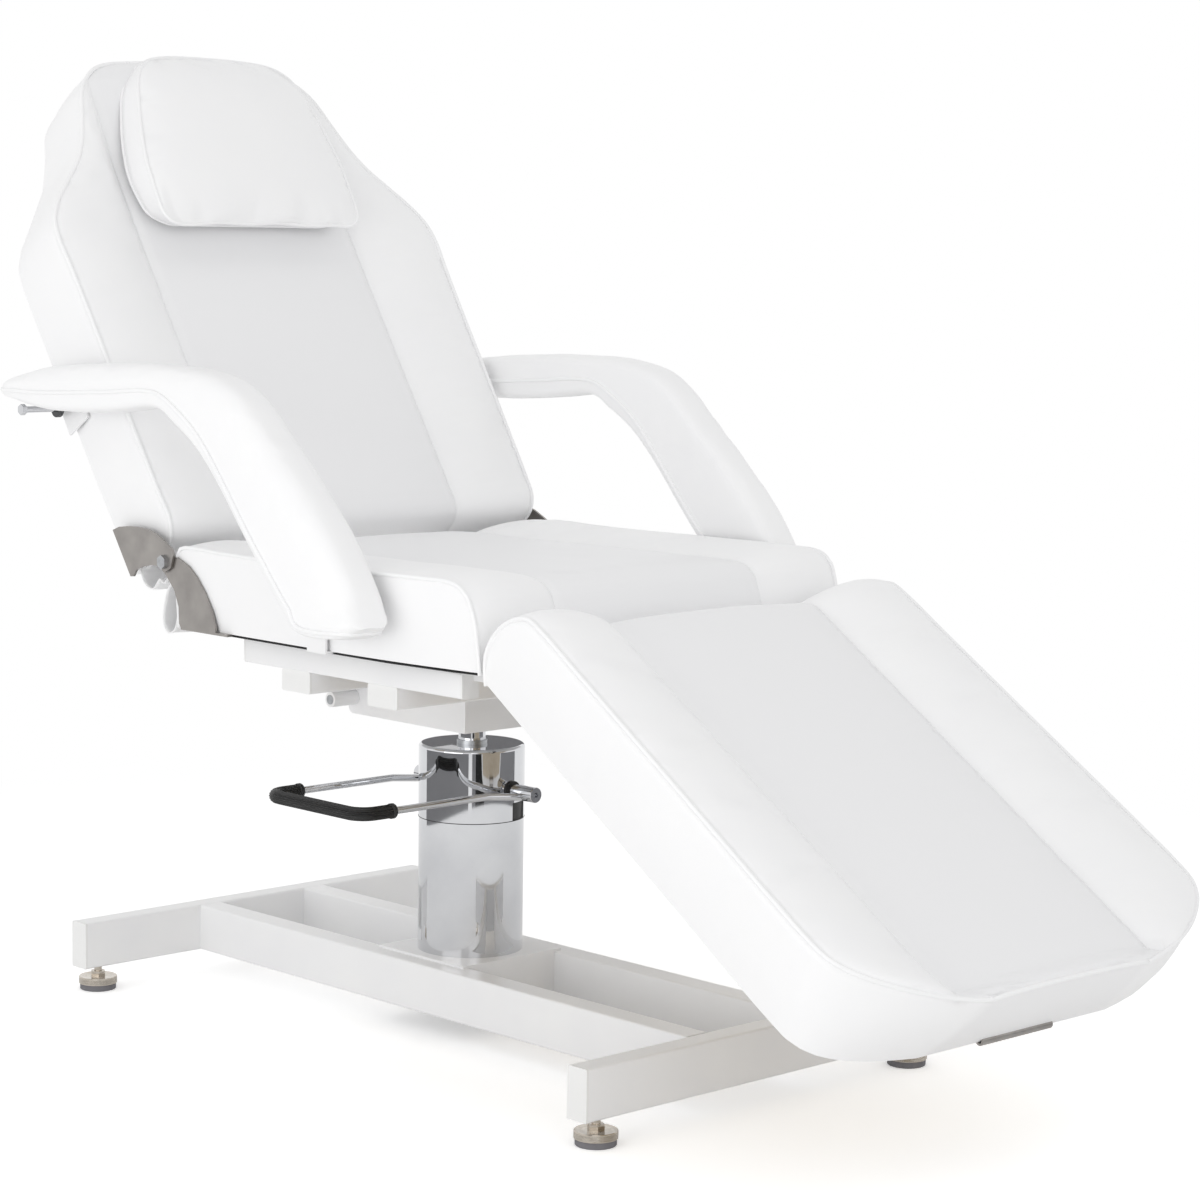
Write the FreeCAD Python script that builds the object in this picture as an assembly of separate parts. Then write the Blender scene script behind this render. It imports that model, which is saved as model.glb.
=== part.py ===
import FreeCAD, Part
import math
import os

Vec = FreeCAD.Vector

# Tattoo chair with a hydraulic lift, in millimetres. X is the width, +Y points to the head end, Z is up.
# The lift pump stands on the axis x = 0, y = 0 while the pieces are made. At the end the whole chair is
# moved along Y, so that its origin lies on the floor under the middle of its box.

# Driving dimensions of the base frame
foot_height = 31.0
beam_height = 60.0
beam_width = 30.7
beam_length = 572.6
beam_wall = 2.0
beam_corner = 3.0
cap_thickness = 3.0
cap_corner = 2.0
head_beam_place = 437.9
foot_beam_place = -500.8
side_beam_inner = 70.0
side_beam_width = 34.5
mount_reach = 80.0
mount_overlap = 11.0
mount_thickness = 3.0
overrun = 5.0
running_fit = 0.05
soft_gap = 0.3
middle = 0.5

# Levelling feet
foot_inset = 29.4
foot_pad_radius = 23.1
foot_pad_height = 8.0
foot_disc_radius = 24.6
foot_disc_height = 9.0
foot_disc_dish = 3.0
foot_edge = 0.8
foot_hex_across = 17.0
foot_hex_height = 6.5
foot_stud_radius = 5.0
foot_stud_reach = 32.0
stud_fit = 0.1

# Lift pump
cover_radius = 66.07
cover_wall = 1.5
cover_step = 0.45
lower_cover_height = 167.7
upper_cover_height = 90.9
cover_edge = 4.0
pump_flange_radius = 60.0
pump_flange_thickness = 6.0
pump_body_radius = 48.0
pump_body_rise = 20.3
pump_neck_radius = 27.0
pump_neck_gap = 7.6
pump_bolt_circle = 55.0
pump_bolt_radius = 3.0
pump_bolt_across = 8.0
pump_bolt_head = 3.5
pump_bolt_count = 4
rod_radius = 17.0
rod_bottom_gap = 16.0
rod_bore_floor = 6.0
collar_radius = 19.0
collar_rise = 4.4
collar_fit = 0.4
slot_width = 30.0
slot_height = 22.0
slot_turn = 22.0
seal_thickness = 1.2
seal_rim = 3.5

# Pedal
pedal_shaft_place = 8.0
pedal_shaft_rise = 38.3
pedal_shaft_radius = 8.5
pedal_shaft_reach = 110.0
pedal_hub_radius = 9.6
pedal_hub_length = 28.0
pedal_hub_edge = 0.6
pedal_key_across = 6.0
pedal_key_depth = 6.0
pedal_bar_radius = 4.5
pedal_arm_place = 88.0
pedal_reach = 250.0
pedal_bar_rise = 2.0
pedal_dip = 5.0
pedal_dip_length = 55.0
pedal_bend = 22.0
grip_radius = 8.0
grip_start = 200.0
grip_collar = 1.2
grip_collar_width = 6.0
bushing_wall = 3.5
bushing_inside = 8.0
bushing_outside = 2.4
block_half = 14.0
block_depth = 14.0
block_height = 34.0

# Swivel box under the seat
box_half_width = 82.0
box_front = -80.0
box_rear = 142.0
rod_show = 28.4
box_height = 40.0
box_wall = 3.0
box_corner = 10.0
box_plate_thickness = 5.0
box_plate_half = 88.0
box_plate_front = -85.0
wing_half = 122.0
wing_depth = 42.0
boss_radius = 9.5
boss_end = 0.8
web_thickness = 5.0
fork_half = 22.0
fork_depth = 34.0
fork_wall = 5.0
hub_wall = 9.0
hub_top_gap = 4.0
thrust_radius = 22.0
thrust_thickness = 3.3
ear_half = 7.0
ear_thickness = 5.0
spacer_radius = 10.0
spacer_wall = 3.0
spacer_spread = 62.0
spacer_pitch = 28.0
spacer_height = 15.0

# Cross tubes and seat rails
cross_height = 26.0
cross_width = 52.6
cross_inset = 6.0
cross_wall = 2.0
cross_corner = 2.5
cross_rear_place = -3.7
cross_front_place = -162.5
rail_inset = 25.0
rail_width = 25.0
rail_height = 30.0
rail_front_inset = 40.4
rail_rear_inset = 105.0
rail_cap = 3.5
frame_bolt_radius = 4.0
frame_bolt_across = 13.0
frame_bolt_head = 4.2
frame_bolt_fit = 0.2
frame_insert_radius = 6.0

# Seat
board_thickness = 12.0
board_inset = 3.0
seat_bolt_gap = 0.8
seat_rear = 198.0
seat_front = -343.9
seat_half = 308.0
seat_thickness = 98.0
seat_seam_half = 166.0
seat_seam_drop = 7.0
seat_centre_crown = 7.0
seat_side_crown = 9.0
side_bulge = 5.0

# Backrest
back_pivot_back = 16.8
back_pivot_drop = 21.2
back_angle = 57.147
back_length = 725.0
back_start = 24.0
back_narrowing = 2.0
back_piping_level = 22.8
back_thickness = 112.0
back_seam_half = 175.0
back_seam_drop = 14.0
back_centre_crown = 8.0
back_side_crown = 10.0

# Pillow
pillow_start = 450.0
pillow_length = 285.0
pillow_half = 168.0
pillow_rim_level = 24.0
pillow_welt_level = 60.0
pillow_crown = 18.0
pillow_sole_sag = 6.9
pillow_bulge = 4.0

# Leg rest
leg_pivot_ahead = 7.1
leg_pivot_rise = 3.0
leg_angle = 33.4
leg_length = 652.0
leg_narrowing = 4.0
leg_piping_level = 97.0
leg_thickness = 108.0
leg_seam_half = 166.0
leg_seam_drop = 19.0
leg_centre_crown = 9.0
leg_side_crown = 13.0
leg_board_start = 9.0
leg_board_inset = 60.0
leg_board_corner = 26.0

# Hinge plates between seat and back
plate_thickness = 3.0
plate_inset = 1.4
plate_gap = 0.3
hinge_bolt_radius = 5.0
hinge_bolt_across = 15.0
hinge_bolt_head = 4.5
flange_width = 24.0

# Leg hinges
leg_hinge_inset = 21.0
leg_hinge_plate = 4.0
leg_knuckle_radius = 6.0
leg_pin_radius = 3.0
leg_pin_head = 1.8
leg_flange_length = 78.0
leg_arm_length = 90.0
leg_arm_depth = 5.0

# Struts
strut_radius = 10.0
strut_rod_radius = 5.0
strut_rod_fit = 0.08
strut_eye_width = 12.0
strut_eye_gap = 1.0
strut_bore_start = 14.5
strut_shoulder = 9.5
back_anchor_inset = 12.0
back_anchor_rise = 21.0
back_anchor_radius = 6.0
back_anchor_half = 122.0
back_strut_level = -155.3
back_cylinder_length = 185.0
back_rod_length = 190.0
leg_anchor_ahead = 30.0
leg_anchor_drop = 7.0
strut_pin_radius = 4.0
strut_pin_half = 14.5
leg_strut_level = -40.0
leg_cylinder_length = 230.0
leg_rod_length = 300.0
strut_lug_thickness = 4.0
strut_lug_base = 30.0

# Handle of the leg rest
handle_half = 58.0
handle_thickness = 2.5
handle_length = 77.0
handle_inset = 27.0
handle_gap = 0.4
handle_curl = 5.0
handle_pin_radius = 3.0
handle_pin_drop = 8.0
handle_lug_length = 32.0
handle_ear = 8.0

# Arms
arm_clearance = 12.4
arm_width = 64.0
arm_tail = 66.0
arm_low_inset = 105.9
arm_low_rise = 27.0
arm_top_rise = 65.3
arm_corner = 14.0
arm_steel_thickness = 5.0
arm_steel_gap = 0.4
arm_pocket_gap = 0.4
arm_steel_share = 0.28
arm_steel_end_share = 0.78
arm_stem_share = 0.8
arm_round_share = 0.4
arm_pivot_back = 210.2
arm_pivot_rise = 176.2
arm_pivot_lug = 11.0
arm_bolt_radius = 4.0
arm_bolt_reach = 51.6
arm_bolt_head = 6.0
arm_bolt_across = 12.0
arm_pin_inset = 223.9
arm_pin_rise = 80.0
arm_pin_radius = 5.0
arm_slot_back = 28.5
arm_slot_front = 38.7
arm_slot_play = 1.3
arm_slot_rim = 5.5
arm_plate_gap = 2.6
arm_plate_thickness = 3.0
arm_plate_nose = 9.0
arm_plate_foot = 20.0
arm_plate_tail = 54.0
arm_plate_step = 15.0
arm_flange_drop = 3.0
side_plate_front = 34.0
side_plate_rear = 13.0
side_plate_half = 32.0

# Vinyl flaps behind the seat
flap_inner = 150.0
flap_inset = 8.0
flap_top_rise = 72.0
flap_bottom_rise = 1.0
flap_depth = 24.0
flap_thickness = 3.0

# Levels that follow from the driving dimensions, from the floor up
beam_top = foot_height + beam_height
pump_base = beam_top + mount_thickness
cover_seam_height = pump_base + lower_cover_height
cover_top_height = cover_seam_height + upper_cover_height
pump_body_top = cover_seam_height + pump_body_rise
pump_neck_top = cover_top_height - pump_neck_gap
collar_top = cover_top_height + collar_rise
pedal_shaft_height = cover_seam_height + pedal_shaft_rise
pedal_bar_height = pedal_shaft_height + pedal_bar_rise
box_bottom = cover_top_height + rod_show
box_top = box_bottom + box_height
plate_top = box_top + box_plate_thickness
cross_bottom = plate_top + spacer_height
cross_top = cross_bottom + cross_height
rail_top = cross_top + rail_height
seat_bottom = rail_top + frame_bolt_head + seat_bolt_gap
seat_board_top = seat_bottom + board_thickness
back_pivot_z = seat_bottom + seat_thickness - back_pivot_drop
leg_pivot_z = seat_bottom + leg_pivot_rise
back_anchor_z = box_bottom + back_anchor_rise
leg_anchor_z = box_top - leg_anchor_drop
leg_board_level = leg_piping_level - leg_thickness
back_board_level = back_piping_level - back_thickness
arm_low_z = seat_bottom + arm_low_rise
arm_pivot_z = back_pivot_z + arm_pivot_rise
arm_pin_z = seat_bottom + arm_pin_rise
flap_top = seat_bottom + flap_top_rise
flap_bottom = seat_bottom + flap_bottom_rise

# Places along the chair
back_pivot_y = seat_rear + back_pivot_back
leg_pivot_y = seat_front - leg_pivot_ahead
rail_front = seat_front + rail_front_inset
rail_rear = seat_rear - rail_rear_inset
back_anchor_y = box_rear - back_anchor_inset
leg_anchor_y = box_front - leg_anchor_ahead
leg_board_end = leg_length - leg_board_inset
handle_end = leg_length - handle_inset
handle_start = handle_end - handle_length
arm_low_y = seat_front + arm_low_inset
arm_pivot_y = back_pivot_y + arm_pivot_back
arm_pin_y = seat_front + arm_pin_inset
arm_reach = arm_pivot_y + arm_tail - arm_low_y
arm_rise = arm_pivot_z + arm_top_rise - arm_low_z

# Places across the chair
back_half = seat_half - back_narrowing
leg_half = seat_half - leg_narrowing
rail_half = seat_half - rail_inset
cross_half = rail_half - cross_inset
leg_hinge_half = rail_half - leg_hinge_inset
plate_side = seat_half - plate_inset
arm_plate_side = seat_half + arm_plate_gap
arm_inner = seat_half + arm_clearance
arm_steel_inner = arm_inner + arm_steel_gap
arm_steel_outer = arm_steel_inner + arm_steel_thickness
arm_bolt_head_place = arm_inner + arm_bolt_reach
foot_place_x = beam_length * middle - foot_inset
flap_outer = seat_half - flap_inset


def block(x_from, x_to, y_from, y_to, z_from, z_to):
    """A box between two corners."""
    corner = Vec(min(x_from, x_to), min(y_from, y_to), min(z_from, z_to))
    return Part.makeBox(abs(x_to - x_from), abs(y_to - y_from), abs(z_to - z_from), corner)


def rod_along(axis, radius, x, y, z, length):
    """A round bar that starts at a point and runs along an axis."""
    return Part.makeCylinder(radius, length, Vec(x, y, z), axis)


AlongX = Vec(1, 0, 0)
AlongY = Vec(0, 1, 0)
AlongZ = Vec(0, 0, 1)


def bar_x(radius, x_from, x_to, y, z):
    return rod_along(AlongX, radius, min(x_from, x_to), y, z, abs(x_to - x_from))


def bar_y(radius, x, y_from, y_to, z):
    return rod_along(AlongY, radius, x, min(y_from, y_to), z, abs(y_to - y_from))


def bar_z(radius, x, y, z_from, z_to):
    return rod_along(AlongZ, radius, x, y, min(z_from, z_to), abs(z_to - z_from))


def ring_z(outer, inner, x, y, z_from, z_to):
    return bar_z(outer, x, y, z_from, z_to).cut(bar_z(inner, x, y, z_from - overrun, z_to + overrun))


def hexagon(across, length, base, axis):
    """A hexagonal prism with the given width across its flats."""
    radius = across * middle / math.cos(math.pi / 6)
    points = [Vec(radius * math.cos(turn * math.pi / 3), radius * math.sin(turn * math.pi / 3), 0)
              for turn in range(7)]
    solid = Part.Face(Part.makePolygon(points)).extrude(Vec(0, 0, length))
    solid.Placement = FreeCAD.Placement(base, FreeCAD.Rotation(AlongZ, axis))
    return solid


def tube_section(width, height, corner):
    """A rounded rectangle round the origin, in the XY plane."""
    half_w = width * middle
    half_h = height * middle
    flat_w = half_w - corner
    flat_h = half_h - corner
    cut = corner * math.sqrt(middle)
    corners = []
    for sx, sy in ((1, 1), (-1, 1), (-1, -1), (1, -1)):
        beside = Vec(sx * half_w, sy * flat_h, 0)
        above = Vec(sx * flat_w, sy * half_h, 0)
        knee = Vec(sx * (flat_w + cut), sy * (flat_h + cut), 0)
        corners.append((beside, knee, above) if sx * sy > 0 else (above, knee, beside))
    edges = []
    for (start, knee, end), (after, _, _) in zip(corners, corners[1:] + corners[:1]):
        edges.append(Part.Arc(start, knee, end).toShape())
        edges.append(Part.makeLine(end, after))
    return Part.Wire(edges)


def hollow_bar(width, height, corner, wall, length, place, axis_turn):
    """A rectangular tube. Its length runs along Y, or along X when axis_turn is 90 degrees."""
    outer = Part.Face(tube_section(width, height, corner)).extrude(Vec(0, 0, length))
    inner_corner = max(corner - wall, wall * middle)
    inner = Part.Face(tube_section(width - wall - wall, height - wall - wall, inner_corner))
    tube = outer.cut(inner.extrude(Vec(0, 0, length)))
    tube.translate(Vec(0, 0, -length * middle))
    tube.rotate(Vec(0, 0, 0), AlongX, 90)
    tube.rotate(Vec(0, 0, 0), AlongZ, axis_turn)
    tube.translate(place)
    return tube


class Tilted:
    """A plane frame in the YZ plane: a pivot, a direction along the cushion and a normal."""

    def __init__(self, y, z, angle, sense):
        turn = math.radians(angle)
        self.y = y
        self.z = z
        self.along_y = sense * math.cos(turn)
        self.along_z = sense * math.sin(turn)
        self.normal_y = -math.sin(turn)
        self.normal_z = math.cos(turn)

    def at(self, x, along, level):
        return Vec(x, self.y + along * self.along_y + level * self.normal_y,
                   self.z + along * self.along_z + level * self.normal_z)


seat_frame = Tilted(0.0, 0.0, 0.0, 1)
back_frame = Tilted(back_pivot_y, back_pivot_z, back_angle, 1)
leg_frame = Tilted(leg_pivot_y, leg_pivot_z, leg_angle, -1)


def arc_between(start, end, bulge):
    """An arc from start to end that stands off the chord by the vector bulge."""
    knee = (start + end) * middle + bulge
    return Part.Arc(start, knee, end).toShape()


def panel_section(frame, along, half, low, high, seam_half, seam_drop, centre_crown, side_crown, bulge):
    """A cushion's section: flat sole, bulged sides, and three crowned panels between two seams."""
    seam_level = high - seam_drop
    corners = [frame.at(-half + bulge, along, low), frame.at(half - bulge, along, low),
               frame.at(half, along, high), frame.at(seam_half, along, seam_level),
               frame.at(-seam_half, along, seam_level), frame.at(-half, along, high)]
    up = frame.at(0, 0, 1) - frame.at(0, 0, 0)
    side = Vec(1, 0, 0)
    edges = [Part.makeLine(corners[0], corners[1]),
             arc_between(corners[1], corners[2], side * (bulge * middle)),
             arc_between(corners[2], corners[3], up * side_crown),
             arc_between(corners[3], corners[4], up * centre_crown),
             arc_between(corners[4], corners[5], up * side_crown),
             arc_between(corners[5], corners[0], side * (-bulge * middle))]
    return Part.Wire(edges)


def loft(wires):
    return Part.makeLoft(wires, True, True)


def outline_plate(frame, stations, low, high):
    """A board with a symmetric outline, given as (along, half width) pairs."""
    right = [frame.at(half, along, low) for along, half in stations]
    left = [frame.at(-half, along, low) for along, half in reversed(stations)]
    face = Part.Face(Part.makePolygon(right + left + right[:1]))
    return face.extrude(frame.at(0, 0, high) - frame.at(0, 0, low))


def side_plate(points, x_from, x_to):
    """A plate in the YZ plane with the given outline, between two x values."""
    wire = Part.makePolygon([Vec(x_from, y, z) for y, z in points] + [Vec(x_from, *points[0])])
    return Part.Face(wire).extrude(Vec(x_to - x_from, 0, 0))


def group(shapes):
    return Part.makeCompound(shapes)


def fused(shapes):
    return shapes[0].fuse(shapes[1:]).removeSplitter()


# Base frame

def make_beam(place):
    length = beam_length - cap_thickness - cap_thickness
    centre = Vec(0, place, foot_height + beam_height * middle)
    beam = hollow_bar(beam_width, beam_height, beam_corner, beam_wall, length, centre, 90)
    for x in (-foot_place_x, foot_place_x):
        hole = bar_z(foot_stud_radius + stud_fit, x, place, foot_height - overrun, foot_height + overrun)
        beam = beam.cut(hole)
    return beam


def make_side_beam(side):
    length = head_beam_place - foot_beam_place - beam_width
    centre_y = (head_beam_place + foot_beam_place) * middle
    centre_x = side * (side_beam_inner + side_beam_width * middle)
    centre = Vec(centre_x, centre_y, foot_height + beam_height * middle)
    return hollow_bar(side_beam_width, beam_height, beam_corner, beam_wall, length, centre, 0)


def make_beam_caps():
    caps = []
    for place in (head_beam_place, foot_beam_place):
        for side in (-1, 1):
            inner = side * (beam_length * middle - cap_thickness)
            face = Part.Face(tube_section(beam_width, beam_height, cap_corner))
            cap = face.extrude(Vec(0, 0, cap_thickness))
            cap.rotate(Vec(0, 0, 0), AlongX, 90)
            cap.rotate(Vec(0, 0, 0), AlongZ, 90)
            low = min(inner, side * beam_length * middle)
            cap.translate(Vec(low, place, foot_height + beam_height * middle))
            caps.append(cap)
    return group(caps)


def make_pump_mount():
    half = side_beam_inner + mount_overlap
    plate = block(-half, half, -mount_reach, mount_reach, beam_top, pump_base)
    walls = [block(-side_beam_inner, side_beam_inner, side * mount_reach,
                   side * (mount_reach - mount_thickness), foot_height, beam_top) for side in (-1, 1)]
    mount = fused([plate] + walls)
    for x, y in pump_bolt_places():
        mount = mount.cut(bar_z(pump_bolt_radius, x, y, beam_top - overrun, pump_base + overrun))
    return mount


def pump_bolt_places():
    places = []
    for index in range(pump_bolt_count):
        turn = math.radians(45 + 360 / pump_bolt_count * index)
        places.append((pump_bolt_circle * math.cos(turn), pump_bolt_circle * math.sin(turn)))
    return places


# Levelling feet

def foot_places():
    return [(side * foot_place_x, place) for place in (head_beam_place, foot_beam_place)
            for side in (-1, 1)]


def make_foot_metal(x, y):
    disc_top = foot_pad_height + foot_disc_height
    hex_top = disc_top + foot_hex_height
    dish_top = disc_top - foot_disc_dish * middle
    outline = [(0, foot_pad_height), (foot_disc_radius, foot_pad_height),
               (foot_disc_radius, disc_top - foot_edge), (foot_disc_radius - foot_edge, disc_top),
               (foot_hex_across * middle, dish_top), (0, dish_top)]
    wire = Part.makePolygon([Vec(x + radius, y, z) for radius, z in outline + outline[:1]])
    disc = Part.Face(wire).revolve(Vec(x, y, 0), AlongZ, 360)
    nut_base = disc_top - foot_disc_dish
    nut = hexagon(foot_hex_across, hex_top - nut_base, Vec(x, y, nut_base), AlongZ)
    stud = bar_z(foot_stud_radius, x, y, nut_base, foot_height + foot_stud_reach)
    return fused([disc, nut, stud])


def make_foot_pad(x, y):
    pad = bar_z(foot_pad_radius, x, y, 0, foot_pad_height)
    edge = [item for item in pad.Edges if abs(item.CenterOfMass.z) < soft_gap and item.Closed]
    return pad.makeChamfer(foot_edge, edge[:1])


# Lift pump

def make_lower_cover():
    outer = cover_radius - cover_step
    return ring_z(outer, outer - cover_wall, 0, 0, pump_base, cover_seam_height)


def cover_slot():
    slot = block(-slot_width * middle, slot_width * middle, -cover_radius - overrun,
                 -cover_radius + overrun + overrun, cover_seam_height - overrun,
                 cover_seam_height + slot_height)
    slot.rotate(Vec(0, 0, 0), AlongZ, slot_turn)
    return slot


def make_upper_cover():
    outer = bar_z(cover_radius, 0, 0, cover_seam_height, cover_top_height)
    rim = [item for item in outer.Edges if item.Closed and item.CenterOfMass.z > cover_top_height - cover_edge]
    outer = outer.makeFillet(cover_edge, rim[:1])
    inner = bar_z(cover_radius - cover_wall, 0, 0, cover_seam_height - overrun, cover_top_height - cover_wall)
    inner_rim = [item for item in inner.Edges
                 if item.Closed and item.CenterOfMass.z > cover_top_height - cover_edge]
    inner = inner.makeChamfer(cover_edge - cover_wall, inner_rim[:1])
    cover = outer.cut(inner)
    cover = cover.cut(bar_z(collar_radius + collar_fit, 0, 0, pump_neck_top, cover_top_height + overrun))
    shaft = bar_y(bushing_radius, pedal_shaft_place, -cover_radius - overrun, cover_radius + overrun,
                  pedal_shaft_height)
    return cover.cut(shaft).cut(cover_slot())


def make_pump_seal():
    inner = cover_radius - cover_wall
    half = slot_width * middle + seal_rim
    top = cover_seam_height + slot_height + seal_rim
    shell = ring_z(inner, inner - seal_thickness, 0, 0, cover_seam_height, top)
    wide = block(-half, half, -cover_radius - overrun, -middle * cover_radius, cover_seam_height, top)
    wide.rotate(Vec(0, 0, 0), AlongZ, slot_turn)
    return shell.common(wide)


bushing_radius = pedal_shaft_radius + running_fit + bushing_wall


def make_bushings():
    rings = []
    for side in (-1, 1):
        inside = side * (cover_radius - bushing_inside)
        outside = side * (cover_radius + bushing_outside)
        bush = bar_y(bushing_radius, pedal_shaft_place, inside, outside, pedal_shaft_height)
        hole = bar_y(pedal_shaft_radius + running_fit, pedal_shaft_place, inside - side * overrun,
                     outside + side * overrun, pedal_shaft_height)
        rings.append(bush.cut(hole))
    return rings


def make_pump_body():
    flange_top = pump_base + pump_flange_thickness
    flange = bar_z(pump_flange_radius, 0, 0, pump_base, flange_top)
    body = bar_z(pump_body_radius, 0, 0, flange_top, pump_body_top)
    neck = bar_z(pump_neck_radius, 0, 0, pump_body_top, pump_neck_top)
    blocks = []
    for side in (-1, 1):
        near = side * (pump_neck_radius + running_fit)
        blocks.append(block(pedal_shaft_place - block_half, pedal_shaft_place + block_half, near,
                            near + side * block_depth, pump_body_top, pump_body_top + block_height))
    solid = fused([flange, body, neck] + blocks)
    solid = solid.cut(bar_z(rod_radius + running_fit, 0, 0, pump_base + rod_bore_floor,
                            pump_neck_top + overrun))
    for side in (-1, 1):
        hole = bar_y(pedal_shaft_radius + running_fit, pedal_shaft_place, side * pump_neck_radius,
                     side * (pump_neck_radius + block_depth + overrun), pedal_shaft_height)
        solid = solid.cut(hole)
    for x, y in pump_bolt_places():
        solid = solid.cut(bar_z(pump_bolt_radius, x, y, pump_base - overrun, flange_top + overrun))
    return solid


def make_pump_bolts():
    bolts = []
    top = pump_base + pump_flange_thickness
    for x, y in pump_bolt_places():
        shank = bar_z(pump_bolt_radius, x, y, beam_top, top)
        head = hexagon(pump_bolt_across, pump_bolt_head, Vec(x, y, top), AlongZ)
        bolts.append(fused([shank, head]))
    return group(bolts)


def make_collar():
    return ring_z(collar_radius, rod_radius + running_fit, 0, 0, pump_neck_top, collar_top)


def make_lift_rod():
    bottom = pump_base + rod_bore_floor + rod_bottom_gap
    shaft = bar_z(rod_radius, 0, 0, bottom, box_top - hub_top_gap)
    washer = bar_z(thrust_radius, 0, 0, box_bottom - thrust_thickness, box_bottom)
    return fused([shaft, washer])


# Pedal

def rounded_path(points, radius):
    """Straight runs between the points, joined by tangent arcs."""
    edges = []
    here = points[0]
    for before, corner, after in zip(points, points[1:], points[2:]):
        inward = (corner - before).normalize()
        outward = (after - corner).normalize()
        half_turn = inward.getAngle(outward) * middle
        reach = radius * math.tan(half_turn)
        start = corner - inward * reach
        end = corner + outward * reach
        knee = corner + (outward - inward).normalize() * (radius / math.cos(half_turn) - radius)
        edges.append(Part.makeLine(here, start))
        edges.append(Part.Arc(start, knee, end).toShape())
        here = end
    edges.append(Part.makeLine(here, points[-1]))
    return edges


def pedal_points(start, dip):
    """The corners of the bar's centre line, from one end round the cross bar to the other."""
    arm = [Vec(-start, pedal_arm_place, pedal_bar_height)]
    if dip:
        arm = [Vec(pedal_shaft_place, pedal_arm_place, pedal_shaft_height - pedal_dip),
               Vec(-pedal_dip_length, pedal_arm_place, pedal_bar_height)]
    arm.append(Vec(-pedal_reach, pedal_arm_place, pedal_bar_height))
    other = [Vec(point.x, -point.y, point.z) for point in reversed(arm)]
    return arm + other


def pipe_along(points, radius):
    edges = rounded_path(points, pedal_bend)
    circle = Part.Wire(Part.makeCircle(radius, points[0], points[1] - points[0]))
    return Part.Wire(edges).makePipeShell([circle], True, False)


def make_pedal_bar():
    pieces = [pipe_along(pedal_points(pedal_dip_length, True), pedal_bar_radius)]
    for side in (-1, 1):
        near = side * (pump_neck_radius + running_fit + running_fit)
        hub_start = side * (pedal_shaft_reach - pedal_hub_length)
        hub_end = side * (pedal_shaft_reach - pedal_hub_edge)
        pieces.append(bar_y(pedal_shaft_radius, pedal_shaft_place, near, hub_end, pedal_shaft_height))
        pieces.append(bar_y(pedal_hub_radius, pedal_shaft_place, hub_start, hub_end, pedal_shaft_height))
        pieces.append(Part.makeCone(pedal_hub_radius, pedal_hub_radius - pedal_hub_edge, pedal_hub_edge,
                                    Vec(pedal_shaft_place, hub_end, pedal_shaft_height), Vec(0, side, 0)))
    solid = fused(pieces)
    for side in (-1, 1):
        base = Vec(pedal_shaft_place, side * pedal_shaft_reach, pedal_shaft_height)
        solid = solid.cut(hexagon(pedal_key_across, pedal_key_depth, base, Vec(0, -side, 0)))
    return solid


def make_pedal_grip():
    points = pedal_points(grip_start, False)
    pieces = [pipe_along(points, grip_radius)]
    for side in (-1, 1):
        pieces.append(bar_x(grip_radius + grip_collar, -grip_start, -grip_start - grip_collar_width,
                            side * pedal_arm_place, pedal_bar_height))
    return fused(pieces).cut(pipe_along(points, pedal_bar_radius))


# Swivel box

def make_swivel_box():
    outer = block(-box_half_width, box_half_width, box_front, box_rear, box_bottom, box_top)
    edge = [item for item in outer.Edges
            if abs(item.CenterOfMass.y - box_rear) < overrun and abs(item.CenterOfMass.z - box_bottom) < overrun]
    outer = outer.makeFillet(box_corner, edge)
    inner_half = box_half_width - box_wall
    inner = block(-inner_half, inner_half, box_front + box_wall, box_rear - box_wall, box_bottom + box_wall,
                  box_top + overrun)
    fork_front = box_rear - fork_depth
    shell = outer.cut(inner)
    cheeks = []
    for side in (-1, 1):
        near = side * fork_half
        cheeks.append(block(near, near + side * fork_wall, fork_front - fork_wall, box_rear - box_wall,
                            box_bottom + box_wall, box_top))
    back_wall = block(-fork_half, fork_half, fork_front - fork_wall, fork_front, box_bottom + box_wall, box_top)
    hub = bar_z(rod_radius + hub_wall, 0, 0, box_bottom, box_top)
    plate = block(-box_plate_half, box_plate_half, box_plate_front, box_rear, box_top, plate_top)
    wing = block(-wing_half, wing_half, box_rear - wing_depth, box_rear, box_top, plate_top)
    bosses = []
    for side in (-1, 1):
        near = side * (box_half_width - box_wall * middle)
        far = side * (wing_half - boss_end)
        bosses.append(bar_x(boss_radius, near, far, back_anchor_y, back_anchor_z))
        bosses.append(block(near, far, back_anchor_y - web_thickness * middle,
                            back_anchor_y + web_thickness * middle, back_anchor_z, box_top))
    ears = []
    for side in (-1, 1):
        near = side * ear_half
        far = near + side * ear_thickness
        ears.append(block(near, far, box_front, leg_anchor_y, leg_anchor_z - leg_anchor_drop, box_top))
        ears.append(bar_x(leg_anchor_drop, near, far, leg_anchor_y, leg_anchor_z))
    solid = fused([shell, back_wall, hub, plate, wing] + cheeks + bosses + ears)
    solid = solid.cut(block(-fork_half, fork_half, fork_front, box_rear + overrun, box_bottom - overrun,
                            plate_top + overrun))
    solid = solid.cut(bar_z(rod_radius + running_fit, 0, 0, box_bottom - overrun, box_top - hub_top_gap
                            + running_fit))
    solid = solid.cut(bar_x(back_anchor_radius + running_fit, -wing_half - overrun, wing_half + overrun,
                            back_anchor_y, back_anchor_z))
    solid = solid.cut(bar_x(strut_pin_radius + running_fit, -wing_half, wing_half, leg_anchor_y, leg_anchor_z))
    return solid


def make_anchor_pins():
    rear = bar_x(back_anchor_radius, -back_anchor_half, back_anchor_half, back_anchor_y, back_anchor_z)
    front = bar_x(strut_pin_radius, -strut_pin_half, strut_pin_half, leg_anchor_y, leg_anchor_z)
    return group([rear, front])


# Seat frame

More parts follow.
